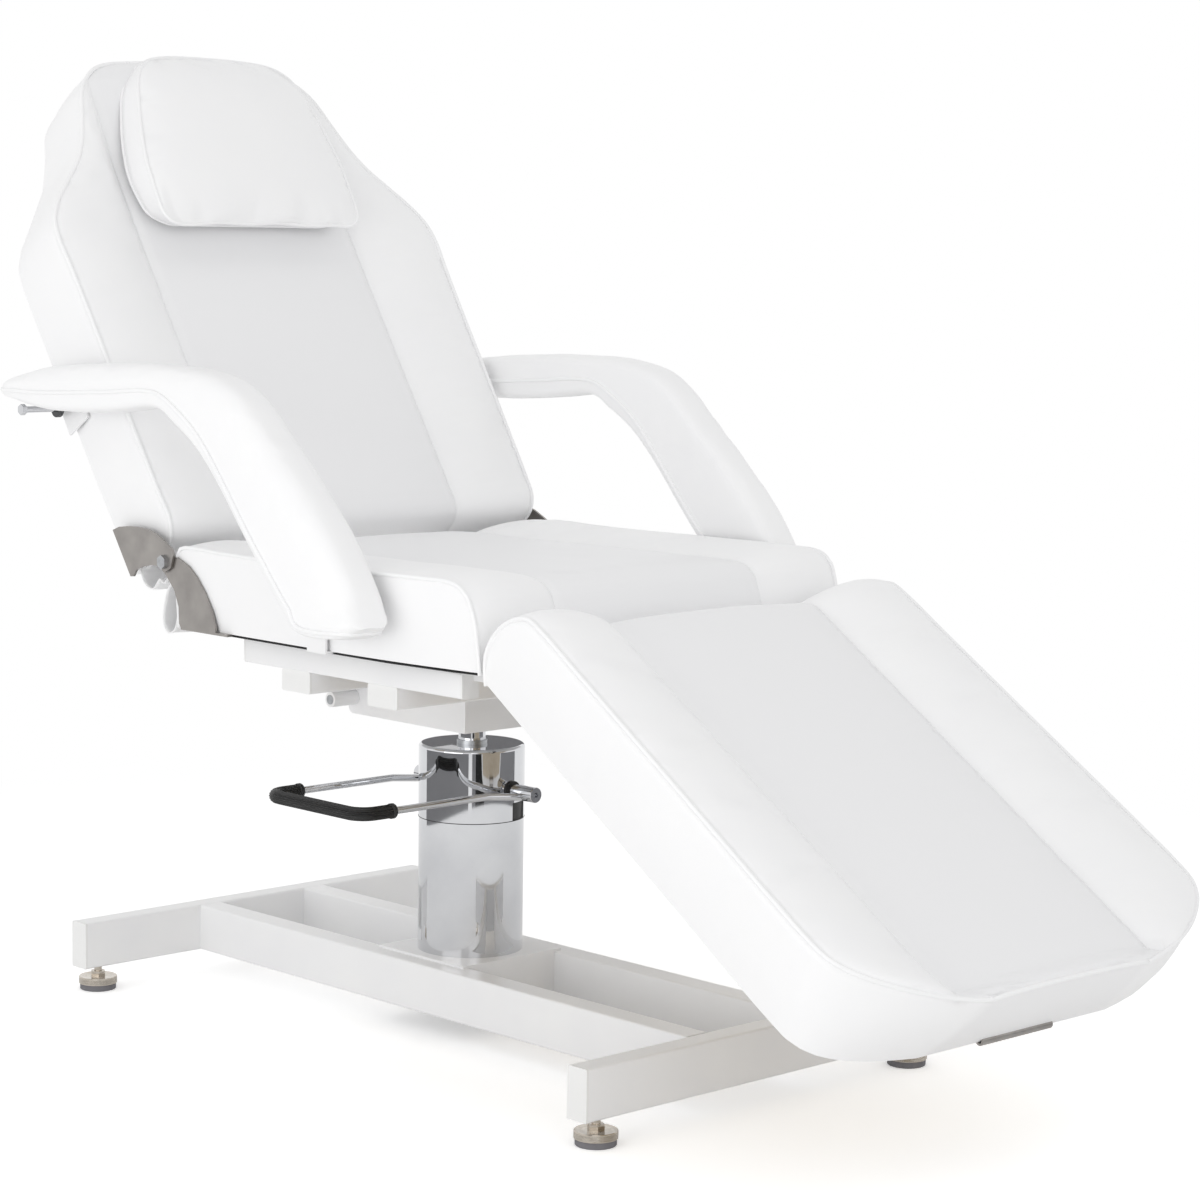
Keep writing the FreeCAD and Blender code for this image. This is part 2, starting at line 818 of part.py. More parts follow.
def frame_bolt_places():
    x = rail_half - rail_width * middle
    return [(side * x, y) for y in (cross_rear_place, cross_front_place) for side in (-1, 1)]


def make_cross_tube(place, with_spacers):
    centre = Vec(0, place, cross_bottom + cross_height * middle)
    tube = hollow_bar(cross_width, cross_height, cross_corner, cross_wall,
                      cross_half + cross_half, centre, 90)
    pieces = [tube]
    if with_spacers:
        for x in (-spacer_spread, spacer_spread):
            for y in (place - spacer_pitch * middle, place + spacer_pitch * middle):
                pieces.append(ring_z(spacer_radius, spacer_radius - spacer_wall, x, y, plate_top, cross_bottom))
        tube = fused(pieces)
    hole = frame_bolt_radius + frame_bolt_fit
    for x, y in frame_bolt_places():
        tube = tube.cut(bar_z(hole, x, y, cross_top - overrun, cross_top + overrun))
    return tube


def make_rail(side):
    length = rail_rear - rail_front - rail_cap - rail_cap
    centre = Vec(side * (rail_half - rail_width * middle), (rail_rear + rail_front) * middle,
                 cross_top + rail_height * middle)
    rail = hollow_bar(rail_width, rail_height, cross_corner, cross_wall, length, centre, 0)
    hole = frame_bolt_radius + frame_bolt_fit
    for x, y in frame_bolt_places():
        rail = rail.cut(bar_z(hole, x, y, cross_top - overrun, rail_top + overrun))
    return rail


def make_frame_caps():
    caps = []
    for side in (-1, 1):
        for place in (cross_rear_place, cross_front_place):
            face = Part.Face(tube_section(cross_width, cross_height, cross_corner))
            cap = face.extrude(Vec(0, 0, rail_cap))
            cap.rotate(Vec(0, 0, 0), AlongX, 90)
            cap.rotate(Vec(0, 0, 0), AlongZ, 90)
            near = cross_half if side > 0 else -cross_half - rail_cap
            cap.translate(Vec(near, place, cross_bottom + cross_height * middle))
            caps.append(cap)
        for near in (rail_front, rail_rear - rail_cap):
            face = Part.Face(tube_section(rail_width, rail_height, cross_corner))
            cap = face.extrude(Vec(0, 0, rail_cap))
            cap.rotate(Vec(0, 0, 0), AlongX, 90)
            cap.translate(Vec(side * (rail_half - rail_width * middle), near + rail_cap,
                              cross_top + rail_height * middle))
            caps.append(cap)
    return group(caps)


def make_frame_bolts():
    bolts = []
    for x, y in frame_bolt_places():
        nut_base = cross_top - cross_wall - frame_bolt_head
        shank = bar_z(frame_bolt_radius, x, y, nut_base, rail_top)
        head = hexagon(frame_bolt_across, frame_bolt_head, Vec(x, y, rail_top), AlongZ)
        insert = bar_z(frame_insert_radius, x, y, nut_base, cross_top - cross_wall)
        bolts.append(fused([shank, head, insert]))
    return group(bolts)


def cushion_loft(frame, shares, start, length, half_width, bottom, thickness, seam_half, seam_drop,
                 centre_crown, side_crown):
    """A cushion on a board: its sections follow a table of shares."""
    wires = []
    for place, wide, lift, high in shares:
        half = half_width * wide
        seam = min(seam_half, half * seam_limit_share)
        tight = min(1, (half - seam) / (half_width - seam_half))
        fill = high - lift
        low = bottom + board_thickness + soft_gap + thickness * lift
        wires.append(panel_section(frame, start + length * place, half, low, bottom + thickness * high, seam,
                                   seam_drop * fill, centre_crown * fill, side_crown * tight * fill, side_bulge))
    return loft(wires)


# Seat cushion and board. Each station gives the place between front and rear as a share of the length,
# the half width as a share, and the rise of the sole and of the piping as shares of the thickness.
seat_shares = [(1.0, 0.974, 0.0575, 0.86), (0.984, 0.987, 0, 0.94), (0.94, 0.992, 0, 0.945),
               (0.88, 0.995, 0, 0.95), (0.75, 0.998, 0, 0.96), (0.60, 1.001, 0, 0.967),
               (0.45, 1.004, 0, 0.978), (0.30, 1.005, 0, 0.992), (0.20, 0.999, 0, 0.994),
               (0.13, 0.989, 0, 0.99), (0.0811, 0.974, 0, 0.97), (0.0550, 0.967, 0, 0.928),
               (0.0340, 0.960, 0, 0.855), (0.0180, 0.955, 0, 0.70), (0.0110, 0.953, 0, 0.55),
               (0.0025, 0.95, 0, 0.22)]
seam_limit_share = 0.8


def make_seat_cushion():
    return cushion_loft(seat_frame, seat_shares, seat_front, seat_rear - seat_front, seat_half, seat_bottom,
                        seat_thickness, seat_seam_half, seat_seam_drop, seat_centre_crown, seat_side_crown)


def make_seat_board():
    length = seat_rear - seat_front
    inset = board_inset + side_bulge
    stations = [(seat_front + board_inset + length * place, seat_half * wide - inset)
                for place, wide, lift, high in reversed(seat_shares[2:])]
    stations.append((seat_rear - board_inset, seat_half * seat_shares[1][1] - inset))
    return outline_plate(seat_frame, stations, seat_bottom, seat_board_top)


# Backrest. Shares of the length from the pivot, of the half width, and of the thickness.
back_shares = [(0.033, 0.945, 0.092, 0.87), (0.047, 0.962, 0, 0.965), (0.083, 0.977, 0, 1.0),
               (0.14, 0.985, 0, 1.0), (0.22, 0.993, 0, 1.0), (0.32, 0.998, 0, 1.0),
               (0.428, 1.003, 0, 1.0), (0.52, 1.012, 0, 1.0), (0.60, 1.014, 0, 1.0),
               (0.65, 1.003, 0, 1.0), (0.70, 0.94, 0, 1.0), (0.745, 0.856, 0, 1.0),
               (0.79, 0.77, 0, 1.0), (0.84, 0.706, 0, 1.0), (0.90, 0.65, 0, 1.0),
               (0.95, 0.595, 0, 1.0), (0.975, 0.54, 0.012, 0.985), (0.991, 0.46, 0.052, 0.94),
               (1.0, 0.37, 0.172, 0.82)]


def make_back_cushion():
    return cushion_loft(back_frame, back_shares, 0, back_length, back_half, back_board_level, back_thickness,
                        back_seam_half, back_seam_drop, back_centre_crown, back_side_crown)


def make_back_board():
    inset = board_inset + side_bulge
    stations = [(back_length * place, back_half * wide - inset) for place, wide, lift, high in back_shares[1:-1]]
    return outline_plate(back_frame, stations, back_board_level, back_board_level + board_thickness)


# Pillow. Shares of its length, of the half width at the rear rim and at the front welt, of the wall's depth
# for those two, and of the crown.
pillow_shares = [(0.0, 0.70, 0.71, 0.78, 0.92, 0.06), (0.02, 0.786, 0.84, 0.50, 0.97, 0.33),
                 (0.05, 0.822, 0.893, 0.20, 1.0, 0.61), (0.084, 0.857, 0.926, 0.03, 1.0, 0.78),
                 (0.175, 0.952, 0.952, 0, 1.0, 1.0), (0.333, 1.0, 0.952, 0, 1.0, 1.0),
                 (0.49, 0.976, 0.923, 0, 1.0, 1.0), (0.63, 0.911, 0.875, 0, 1.0, 1.0),
                 (0.754, 0.82, 0.79, 0, 1.0, 0.95), (0.842, 0.714, 0.673, 0, 1.0, 0.83),
                 (0.895, 0.619, 0.512, 0, 1.0, 0.5), (0.93, 0.548, 0.37, 0, 0.86, 0.33),
                 (0.961, 0.458, 0.298, 0, 0.58, 0.22), (0.986, 0.345, 0.238, 0, 0.31, 0.11),
                 (1.0, 0.238, 0.179, 0.03, 0.14, 0.06)]


def make_pillow():
    wires = []
    up = back_frame.at(0, 0, 1) - back_frame.at(0, 0, 0)
    depth = pillow_welt_level - pillow_rim_level
    for place, rim, welt, low, high, full in pillow_shares:
        along = pillow_start + pillow_length * place
        rim_half = pillow_half * rim
        welt_half = pillow_half * welt
        rim_level = pillow_rim_level + depth * low
        welt_level = pillow_rim_level + depth * high
        ends = [back_frame.at(-rim_half, along, rim_level), back_frame.at(rim_half, along, rim_level),
                back_frame.at(welt_half, along, welt_level), back_frame.at(-welt_half, along, welt_level)]
        bulge = Vec(pillow_bulge * (high - low), 0, 0)
        edges = [arc_between(ends[0], ends[1], up * (-pillow_sole_sag * (1 - low))),
                 arc_between(ends[1], ends[2], bulge),
                 arc_between(ends[2], ends[3], up * (pillow_crown * full)),
                 arc_between(ends[3], ends[0], -bulge)]
        wires.append(Part.Wire(edges))
    return loft(wires)


# Leg rest. Shares of the length from the pivot, of the half width, and of the thickness.
leg_shares = [(-0.0135, 0.954, 0.212, 0.49), (-0.0077, 0.967, 0.101, 0.62), (0.0061, 0.974, 0.032, 0.78),
              (0.0176, 0.974, 0, 0.865), (0.042, 0.975, 0, 1.0), (0.08, 0.976, 0, 1.0),
              (0.14, 0.978, 0, 1.0), (0.22, 0.981, 0, 1.0), (0.33, 0.985, 0, 1.0),
              (0.46, 0.990, 0, 1.0), (0.60, 0.996, 0, 1.0), (0.72, 1.001, 0, 1.0),
              (0.82, 1.003, 0, 1.0), (0.898, 1.0, 0, 1.0), (0.9425, 0.934, 0.038, 1.0),
              (0.964, 0.806, 0.188, 0.99), (0.9855, 0.69, 0.438, 0.965), (0.996, 0.55, 0.588, 0.935),
              (1.0, 0.42, 0.688, 0.905)]
leg_board_shares = [(0.82, 1.0), (0.86, 1.0)]
leg_board_front_share = 0.974


def make_leg_cushion():
    return cushion_loft(leg_frame, leg_shares, 0, leg_length, leg_half, leg_board_level, leg_thickness,
                        leg_seam_half, leg_seam_drop, leg_centre_crown, leg_side_crown)


def make_leg_board():
    inset = board_inset + side_bulge
    stations = [(leg_board_start, leg_half * leg_board_front_share - inset)]
    for place, wide in leg_board_shares:
        stations.append((leg_length * place, leg_half * wide - inset))
    stations.append((leg_board_end, leg_half - inset - leg_board_corner))
    return outline_plate(leg_frame, stations, leg_board_level, leg_board_level + board_thickness)


# Hinge plates at the back. Outlines are shares of the plate's size round the pivot.
plate_reach = 108.0
back_plate_shares = [(0.99, 0.285), (0.86, 0.332), (0.69, 0.351), (0.49, 0.356), (0.30, 0.343), (0.137, 0.295),
                     (-0.008, 0.226), (-0.154, 0.152), (-0.181, 0.088), (-0.13, -0.06), (-0.02, -0.12),
                     (0.066, -0.061), (0.23, -0.054), (0.40, -0.085), (0.526, -0.134), (0.583, -0.215),
                     (0.64, -0.221)]
seat_plate_shares = [(-0.04, 0.067), (-0.206, 0.063), (-0.406, -0.011), (-0.567, -0.126), (-0.726, -0.294),
                     (-0.85, -0.485), (-0.92, -0.66), (-0.92, -0.711), (-0.28, -0.711), (-0.25, -0.68),
                     (-0.242, -0.489), (-0.154, -0.303), (0.0, -0.153), (0.09, -0.09), (0.09, 0.03)]


def plate_points(shares):
    return [(back_pivot_y + plate_reach * y, back_pivot_z + plate_reach * z) for y, z in shares]


def make_seat_bracket(side):
    inner = side * plate_side
    outer = side * (plate_side + plate_thickness)
    plate = side_plate(plate_points(seat_plate_shares), inner, outer)
    front = back_pivot_y + plate_reach * seat_plate_shares[7][0]
    rear = back_pivot_y + plate_reach * seat_plate_shares[8][0]
    low = back_pivot_z + plate_reach * seat_plate_shares[7][1]
    flange = block(side * (rail_half - flange_width), outer, front - flange_width, rear,
                   seat_bottom - plate_thickness - soft_gap, seat_bottom - soft_gap)
    join = block(inner, outer, front, rear, seat_bottom - plate_thickness - soft_gap, low + plate_thickness)
    bracket = fused([plate, flange, join])
    return bracket.cut(bar_x(hinge_bolt_radius + running_fit, inner - side * overrun, outer + side * overrun,
                             back_pivot_y, back_pivot_z))


def make_back_bracket(side):
    inner = side * (plate_side + plate_thickness + plate_gap)
    outer = inner + side * plate_thickness
    plate = side_plate(plate_points(back_plate_shares), inner, outer)
    return plate.cut(bar_x(hinge_bolt_radius + running_fit, inner - side * overrun, outer + side * overrun,
                           back_pivot_y, back_pivot_z))


def make_hinge_bolts():
    bolts = []
    for side in (-1, 1):
        face = side * (plate_side + plate_thickness + plate_gap + plate_thickness)
        shank = bar_x(hinge_bolt_radius, side * plate_side, face, back_pivot_y, back_pivot_z)
        head = hexagon(hinge_bolt_across, hinge_bolt_head, Vec(face, back_pivot_y, back_pivot_z), Vec(side, 0, 0))
        bolts.append(fused([shank, head]))
    return group(bolts)


def make_back_links():
    """Plates on the edges of the back board that carry the arm bolts."""
    pieces = []
    for side in (-1, 1):
        inner = side * plate_side
        outer = side * (plate_side + plate_thickness)
        pivot = to_back(arm_pivot_y, arm_pivot_z)
        low = pivot[0] - side_plate_half
        high = pivot[0] + side_plate_half
        corners = [(low, pivot[1] + side_plate_front), (high, pivot[1] + side_plate_front),
                   (high, pivot[1] - side_plate_rear), (low, pivot[1] - side_plate_rear)]
        points = [back_frame.at(0, along, level) for along, level in corners]
        plate = side_plate([(point.y, point.z) for point in points], inner, outer)
        plate = plate.cut(bar_x(arm_bolt_radius + running_fit, inner - side * overrun, outer + side * overrun,
                                arm_pivot_y, arm_pivot_z))
        pieces.append(plate)
    return group(pieces)


def to_back(y, z):
    dy = y - back_frame.y
    dz = z - back_frame.z
    return (dy * back_frame.along_y + dz * back_frame.along_z,
            dy * back_frame.normal_y + dz * back_frame.normal_z)


# Leg hinges

def make_leg_hinge_brackets():
    pieces = []
    for side in (-1, 1):
        inner = side * leg_hinge_half
        outer = side * (leg_hinge_half + leg_hinge_plate)
        knuckle = bar_x(leg_knuckle_radius, inner, outer, leg_pivot_y, leg_pivot_z)
        top = seat_bottom - soft_gap
        low = leg_pivot_z - leg_knuckle_radius - leg_knuckle_radius - leg_knuckle_radius
        points = [(leg_pivot_y - leg_knuckle_radius, leg_pivot_z), (leg_pivot_y + leg_knuckle_radius, leg_pivot_z),
                  (seat_front, top), (rail_front, top), (rail_front, low),
                  (leg_pivot_y + leg_knuckle_radius, low)]
        arm = side_plate(points, inner, outer)
        flange = block(inner, side * rail_half, rail_front - leg_hinge_plate, rail_front + leg_flange_length,
                       rail_top, top)
        bracket = fused([knuckle, arm, flange])
        hole = bar_x(leg_pin_radius + running_fit, inner - side * overrun, outer + side * overrun,
                     leg_pivot_y, leg_pivot_z)
        pieces.append(bracket.cut(hole))
    return group(pieces)


def make_leg_hinge_pins():
    pins = []
    for side in (-1, 1):
        inner = side * (leg_hinge_half - plate_gap - leg_hinge_plate)
        outer = side * (leg_hinge_half + leg_hinge_plate)
        shank = bar_x(leg_pin_radius, inner, outer, leg_pivot_y, leg_pivot_z)
        head = bar_x(leg_pin_radius + leg_pin_head, outer, outer + side * leg_pin_head, leg_pivot_y, leg_pivot_z)
        pins.append(fused([shank, head]))
    return group(pins)


def leg_points(pairs):
    points = [leg_frame.at(0, along, level) for along, level in pairs]
    return [(point.y, point.z) for point in points]


def make_leg_hinge_arms():
    pieces = []
    deep = leg_board_level - leg_arm_depth
    for side in (-1, 1):
        outer = side * (leg_hinge_half - plate_gap)
        inner = outer - side * leg_hinge_plate
        knuckle = bar_x(leg_knuckle_radius, inner, outer, leg_pivot_y, leg_pivot_z)
        points = leg_points([(-leg_knuckle_radius * middle, -leg_knuckle_radius * middle),
                             (leg_knuckle_radius, 0), (leg_board_start - running_fit, leg_board_level),
                             (leg_arm_length, leg_board_level), (leg_arm_length, deep), (0, deep)])
        arm = side_plate(points, inner, outer)
        hinge = fused([knuckle, arm])
        hole = bar_x(leg_pin_radius + running_fit, inner - side * overrun, outer + side * overrun,
                     leg_pivot_y, leg_pivot_z)
        pieces.append(hinge.cut(hole))
    return pieces


# Struts

def distance(one, two):
    return math.hypot(two[0] - one[0], two[1] - one[1])


back_anchor = (back_anchor_y, back_anchor_z)
leg_anchor = (leg_anchor_y, leg_anchor_z)
back_pivot = (back_pivot_y, back_pivot_z)
leg_pivot = (leg_pivot_y, leg_pivot_z)
# The strut's moving end lies as far from the pivot as its anchor, so the strut turns half as far as the cushion.
back_strut_along = math.sqrt(distance(back_anchor, back_pivot) ** 2 - back_strut_level ** 2)
leg_strut_along = math.sqrt(distance(leg_anchor, leg_pivot) ** 2 - leg_strut_level ** 2)
back_end_point = back_frame.at(0, back_strut_along, back_strut_level)
leg_end_point = leg_frame.at(0, leg_strut_along, leg_strut_level)
back_end = (back_end_point.y, back_end_point.z)
leg_end = (leg_end_point.y, leg_end_point.z)


def heading(start, end):
    length = distance(start, end)
    return Vec(0, (end[0] - start[0]) / length, (end[1] - start[1]) / length)


def make_strut_cylinder(start, end, length, pin_radius):
    axis = heading(start, end)
    base = Vec(0, *start)
    eye = bar_x(strut_radius, -strut_eye_width * middle, strut_eye_width * middle, *start)
    barrel = Part.makeCylinder(strut_radius, length, base, axis)
    solid = fused([eye, barrel])
    bore = Part.makeCylinder(strut_rod_radius + strut_rod_fit, length, base + axis * strut_bore_start, axis)
    hole = bar_x(pin_radius + running_fit, -strut_eye_width, strut_eye_width, *start)
    keep = block(-strut_eye_width * middle, strut_eye_width * middle, start[0] - strut_radius,
                 start[0] + strut_radius, start[1] - strut_radius, start[1] + strut_radius)
    slab = Part.makeCylinder(strut_radius + overrun, strut_shoulder, base, axis)
    shoulders = slab.cut(keep)
    return solid.cut(shoulders).cut(bore).cut(hole)


def make_strut_rod(start, end, length, pin_radius):
    axis = heading(start, end)
    base = Vec(0, *end)
    eye = bar_x(strut_radius, -strut_eye_width * middle, strut_eye_width * middle, *end)
    rod = Part.makeCylinder(strut_rod_radius, length, base - axis * length, axis)
    hole = bar_x(pin_radius + running_fit, -strut_eye_width, strut_eye_width, *end)
    return fused([eye, rod]).cut(hole)


def strut_lug(frame, along, level, base_level):
    """A channel on the cushion's board with two ears, and its pin."""
    ears = []
    gap = strut_eye_width * middle + strut_eye_gap
    lean = strut_lug_base * middle
    for side in (-1, 1):
        near = side * gap
        far = near + side * strut_lug_thickness
        points = [frame.at(0, along - lean, base_level), frame.at(0, along + lean, base_level),
                  frame.at(0, along + strut_radius, level - strut_radius),
                  frame.at(0, along - strut_radius, level - strut_radius)]
        ears.append(side_plate([(point.y, point.z) for point in points], near, far))
    half = gap + strut_lug_thickness
    base_points = [frame.at(0, along - strut_lug_base, base_level),
                   frame.at(0, along + strut_lug_base, base_level),
                   frame.at(0, along + strut_lug_base, base_level - strut_lug_thickness),
                   frame.at(0, along - strut_lug_base, base_level - strut_lug_thickness)]
    base = side_plate([(point.y, point.z) for point in base_points], -half - strut_lug_base,
                      half + strut_lug_base)
    end = frame.at(0, along, level)
    lug = fused(ears + [base])
    lug = lug.cut(bar_x(strut_pin_radius + running_fit, -half - overrun, half + overrun, end.y, end.z))
    pin = bar_x(strut_pin_radius, -strut_pin_half, strut_pin_half, end.y, end.z)
    return [lug, pin]


# Handle under the foot end of the leg rest

handle_level = leg_board_level - handle_gap
handle_pin_level = handle_level - handle_thickness - handle_pin_drop * middle


def make_leg_handle():
    low = handle_level - handle_thickness
    plate_start = handle_start + handle_pin_drop
    lip = [(plate_start, handle_level), (handle_end, handle_level), (handle_end, low), (plate_start, low)]
    plate = side_plate(leg_points(lip), -handle_half, handle_half)
    centre = leg_frame.at(-handle_half, handle_end, low + handle_curl)
    ring = Part.makeCylinder(handle_curl, handle_half + handle_half, centre, AlongX)
    hole = Part.makeCylinder(handle_curl - handle_thickness, handle_half + handle_half, centre, AlongX)
    far_end = handle_end + handle_curl + overrun
    high_end = low + handle_curl + overrun
    keep = side_plate(leg_points([(handle_end, low - overrun), (far_end, low - overrun), (far_end, high_end),
                                  (handle_end, high_end)]), -handle_half, handle_half)
    curl = ring.cut(hole).common(keep)
    ears = []
    ear_end = handle_start + handle_pin_drop + handle_pin_drop
    ear_low = handle_pin_level - handle_pin_drop * middle
    points = leg_points([(handle_start, low), (ear_end, low), (ear_end, ear_low), (handle_start, ear_low)])
    for side in (-1, 1):
        near = side * (handle_half - handle_ear)
        ears.append(side_plate(points, near, near + side * handle_thickness))
    solid = fused([plate, curl] + ears)
    pin = leg_frame.at(0, handle_start + handle_pin_drop, handle_pin_level)
    return solid.cut(bar_x(handle_pin_radius + running_fit, -handle_half - overrun, handle_half + overrun,
                           pin.y, pin.z))


def make_handle_hinge():
    """Lugs on the leg board beside the handle, with its pin."""
    pieces = []
    pin = leg_frame.at(0, handle_start + handle_pin_drop, handle_pin_level)
    deep = handle_pin_level - handle_pin_drop * middle
    for side in (-1, 1):
        near = side * (handle_half + soft_gap)
        far = near + side * handle_ear * middle
        lug_start = handle_start - handle_pin_drop
        lug_end = lug_start + handle_lug_length
        points = leg_points([(lug_start, leg_board_level), (lug_end, leg_board_level),
                             (lug_end - handle_pin_drop, deep), (handle_start, deep)])
        lug = side_plate(points, near, far)
        pieces.append(lug.cut(bar_x(handle_pin_radius + running_fit, near - side * overrun,
                                    far + side * overrun, pin.y, pin.z)))
    end = handle_half + soft_gap + handle_ear * middle
    pieces.append(bar_x(handle_pin_radius, -end, end, pin.y, pin.z))
    return pieces


# Arms. Each station gives the top and the underside, as shares of the arm's reach and rise.
arm_shares = [((0.015, 0.082), (0.075, 0.004)), ((0.022, 0.125), (0.137, 0.005)), ((0.034, 0.20), (0.169, 0.064)),
              ((0.087, 0.367), (0.225, 0.203)), ((0.177, 0.594), (0.280, 0.354)), ((0.260, 0.776), (0.342, 0.536)),
              ((0.304, 0.872), (0.398, 0.664)), ((0.355, 0.948), (0.462, 0.766)), ((0.429, 0.987), (0.514, 0.826)),
              ((0.517, 1.0), (0.578, 0.820)), ((0.638, 0.997), (0.671, 0.793)), ((0.762, 0.98), (0.765, 0.781)),
              ((0.859, 0.957), (0.861, 0.788)), ((0.958, 0.90), (0.955, 0.825)), ((1.0, 0.862), (0.997, 0.842))]


def arm_point(share):
    return arm_low_y + arm_reach * share[0], arm_low_z + arm_rise * share[1]


def arm_section(top, under, x_from, x_to, corner):
    """A rounded section of the arm pad between its top and its underside."""
    high = Vec(0, *arm_point(top))
    low = Vec(0, *arm_point(under))
    down = low - high
    depth = down.Length
    unit = down * (1 / depth)
    width = abs(x_to - x_from)
    round_off = min(corner, depth * arm_round_share, width * arm_round_share)
    cut = round_off * (1 - math.sqrt(middle))
    places = []
    for x_edge, x_inward, level, inward in ((x_from, 1, 0, 1), (x_to, -1, 0, 1), (x_to, -1, depth, -1),
                                            (x_from, 1, depth, -1)):
        sense = x_inward if x_to > x_from else -x_inward
        side_end = Vec(x_edge, 0, 0) + high + unit * (level + inward * round_off)
        flat_end = Vec(x_edge + sense * round_off, 0, 0) + high + unit * level
        knee = Vec(x_edge + sense * cut, 0, 0) + high + unit * (level + inward * cut)
        places.append((side_end, knee, flat_end))
    first, second, third, fourth = places
    edges = [Part.Arc(first[0], first[1], first[2]).toShape(), Part.makeLine(first[2], second[2]),
             Part.Arc(second[2], second[1], second[0]).toShape(), Part.makeLine(second[0], third[0]),
             Part.Arc(third[0], third[1], third[2]).toShape(), Part.makeLine(third[2], fourth[2]),
             Part.Arc(fourth[2], fourth[1], fourth[0]).toShape(), Part.makeLine(fourth[0], first[0])]
    return Part.Wire(edges)


def slot_line():
    """Unit vector from the arm's pivot bolt down to its slot pin."""
    return heading((arm_pivot_y, arm_pivot_z), (arm_pin_y, arm_pin_z))


def slot_shape(radius, x_from, x_to):
    """A plate with round ends along the way of the slot pin."""
    line = slot_line()
    pin = Vec(0, arm_pin_y, arm_pin_z)
    start = pin - line * arm_slot_back
    end = pin + line * arm_slot_front
    across = Vec(0, -line.z, line.y) * radius
    corners = [start + across, end + across, end - across, start - across]
    strip = side_plate([(point.y, point.z) for point in corners], x_from, x_to)
    return fused([strip, bar_x(radius, x_from, x_to, start.y, start.z), bar_x(radius, x_from, x_to, end.y, end.z)])


def arm_blank(extra, x_from, x_to):
    """The outline of the steel in the arm, grown by extra on every side."""
    tops = []
    lows = []
    for top, under in arm_shares[1:-1]:
        high = Vec(0, *arm_point(top))
        low = Vec(0, *arm_point(under))
        down = (low - high).normalize() * extra
        tops.append(high + (low - high) * arm_steel_share - down)
        lows.append(high + (low - high) * arm_steel_end_share + down)
    first = (tops[0] - tops[1]).normalize() * extra
    last = (tops[-1] - tops[-2]).normalize() * extra
    outline = [tops[0] + first] + tops[1:-1] + [tops[-1] + last, lows[-1] + last]
    outline += lows[-2:0:-1] + [lows[0] + first]
    band = side_plate([(point.y, point.z) for point in outline], x_from, x_to)
    lug = bar_x(arm_pivot_lug + extra, x_from, x_to, arm_pivot_y, arm_pivot_z)
    stem_half = arm_pivot_lug * arm_stem_share + extra
    stem = block(x_from, x_to, arm_pivot_y - stem_half, arm_pivot_y + stem_half, arm_pivot_z,
                 arm_pivot_z + arm_pivot_lug + arm_pivot_lug + extra)
    slot_plate = slot_shape(arm_pin_radius + arm_slot_play + arm_slot_rim + extra, x_from, x_to)
    return fused([band, lug, stem, slot_plate])


def make_arm_pad(side):
    """The arm's cushion, with a pocket in its inner side for the steel."""
    wires = [arm_section(top, under, side * arm_inner, side * (arm_inner + arm_width), arm_corner)
             for top, under in arm_shares]
    pocket = arm_blank(arm_pocket_gap, side * (arm_inner - overrun), side * (arm_steel_outer + arm_pocket_gap))
    return loft(wires).cut(pocket)


def make_arm_steel(side):
    inner = side * arm_steel_inner
    outer = side * arm_steel_outer
    solid = arm_blank(0, inner, outer)
    solid = solid.cut(slot_shape(arm_pin_radius + arm_slot_play, inner - side * overrun, outer + side * overrun))
    return solid.cut(bar_x(arm_bolt_radius + running_fit, inner - side * overrun, outer + side * overrun,
                           arm_pivot_y, arm_pivot_z))


def make_arm_bolts():
    bolts = []
    for side in (-1, 1):
        start = side * plate_side
        head_place = side * arm_bolt_head_place
        shank = bar_x(arm_bolt_radius, start, head_place, arm_pivot_y, arm_pivot_z)
        head = hexagon(arm_bolt_across, arm_bolt_head, Vec(head_place, arm_pivot_y, arm_pivot_z), Vec(side, 0, 0))
        bolts.append(fused([shank, head]))
    return bolts


def make_arm_brackets():
    pieces = []
    for side in (-1, 1):
        inner = side * arm_plate_side
        outer = side * (arm_plate_side + arm_plate_thickness)
        low = seat_bottom - arm_flange_drop - soft_gap
        front = arm_pin_y + arm_plate_foot
        rear = arm_pin_y + arm_plate_tail
        points = [(front, low), (rear, low), (rear, seat_bottom + arm_plate_step),
                  (arm_pin_y + arm_plate_nose, arm_pin_z), (arm_pin_y - arm_plate_nose, arm_pin_z),
                  (front, seat_bottom + arm_plate_step)]
        plate = side_plate(points, inner, outer)
        nose = bar_x(arm_plate_nose, inner, outer, arm_pin_y, arm_pin_z)
        flange = block(side * rail_half, outer, front, rear, low, seat_bottom - soft_gap)
        pin = bar_x(arm_pin_radius, inner, side * (arm_steel_outer - soft_gap), arm_pin_y, arm_pin_z)
        pieces.append(fused([plate, nose, flange, pin]))
    return group(pieces)


# Vinyl flaps behind the seat: a hanging fold with a drop-shaped section

def make_flaps():
    pieces = []
    rear = seat_rear + soft_gap
    for side in (-1, 1):
        solids = []
        for inset in (0, flap_thickness):
            low = flap_bottom + inset
            high = flap_top - inset - inset
            near = rear + inset
            far = rear + flap_depth - inset
            knee_level = low + (far - near) * middle
            top = Vec(side * flap_inner, near + (far - near) * middle * middle, high)
            near_point = Vec(side * flap_inner, near, knee_level)
            far_point = Vec(side * flap_inner, far, knee_level)
            bottom = Vec(side * flap_inner, (near + far) * middle, low)
            wire = Part.Wire([Part.makeLine(top, near_point), Part.Arc(near_point, bottom, far_point).toShape(),
                              Part.makeLine(far_point, top)])
            solids.append(Part.Face(wire).extrude(Vec(side * (flap_outer - flap_inner), 0, 0)))
        pieces.append(solids[0].cut(solids[1]))
    return group(pieces)


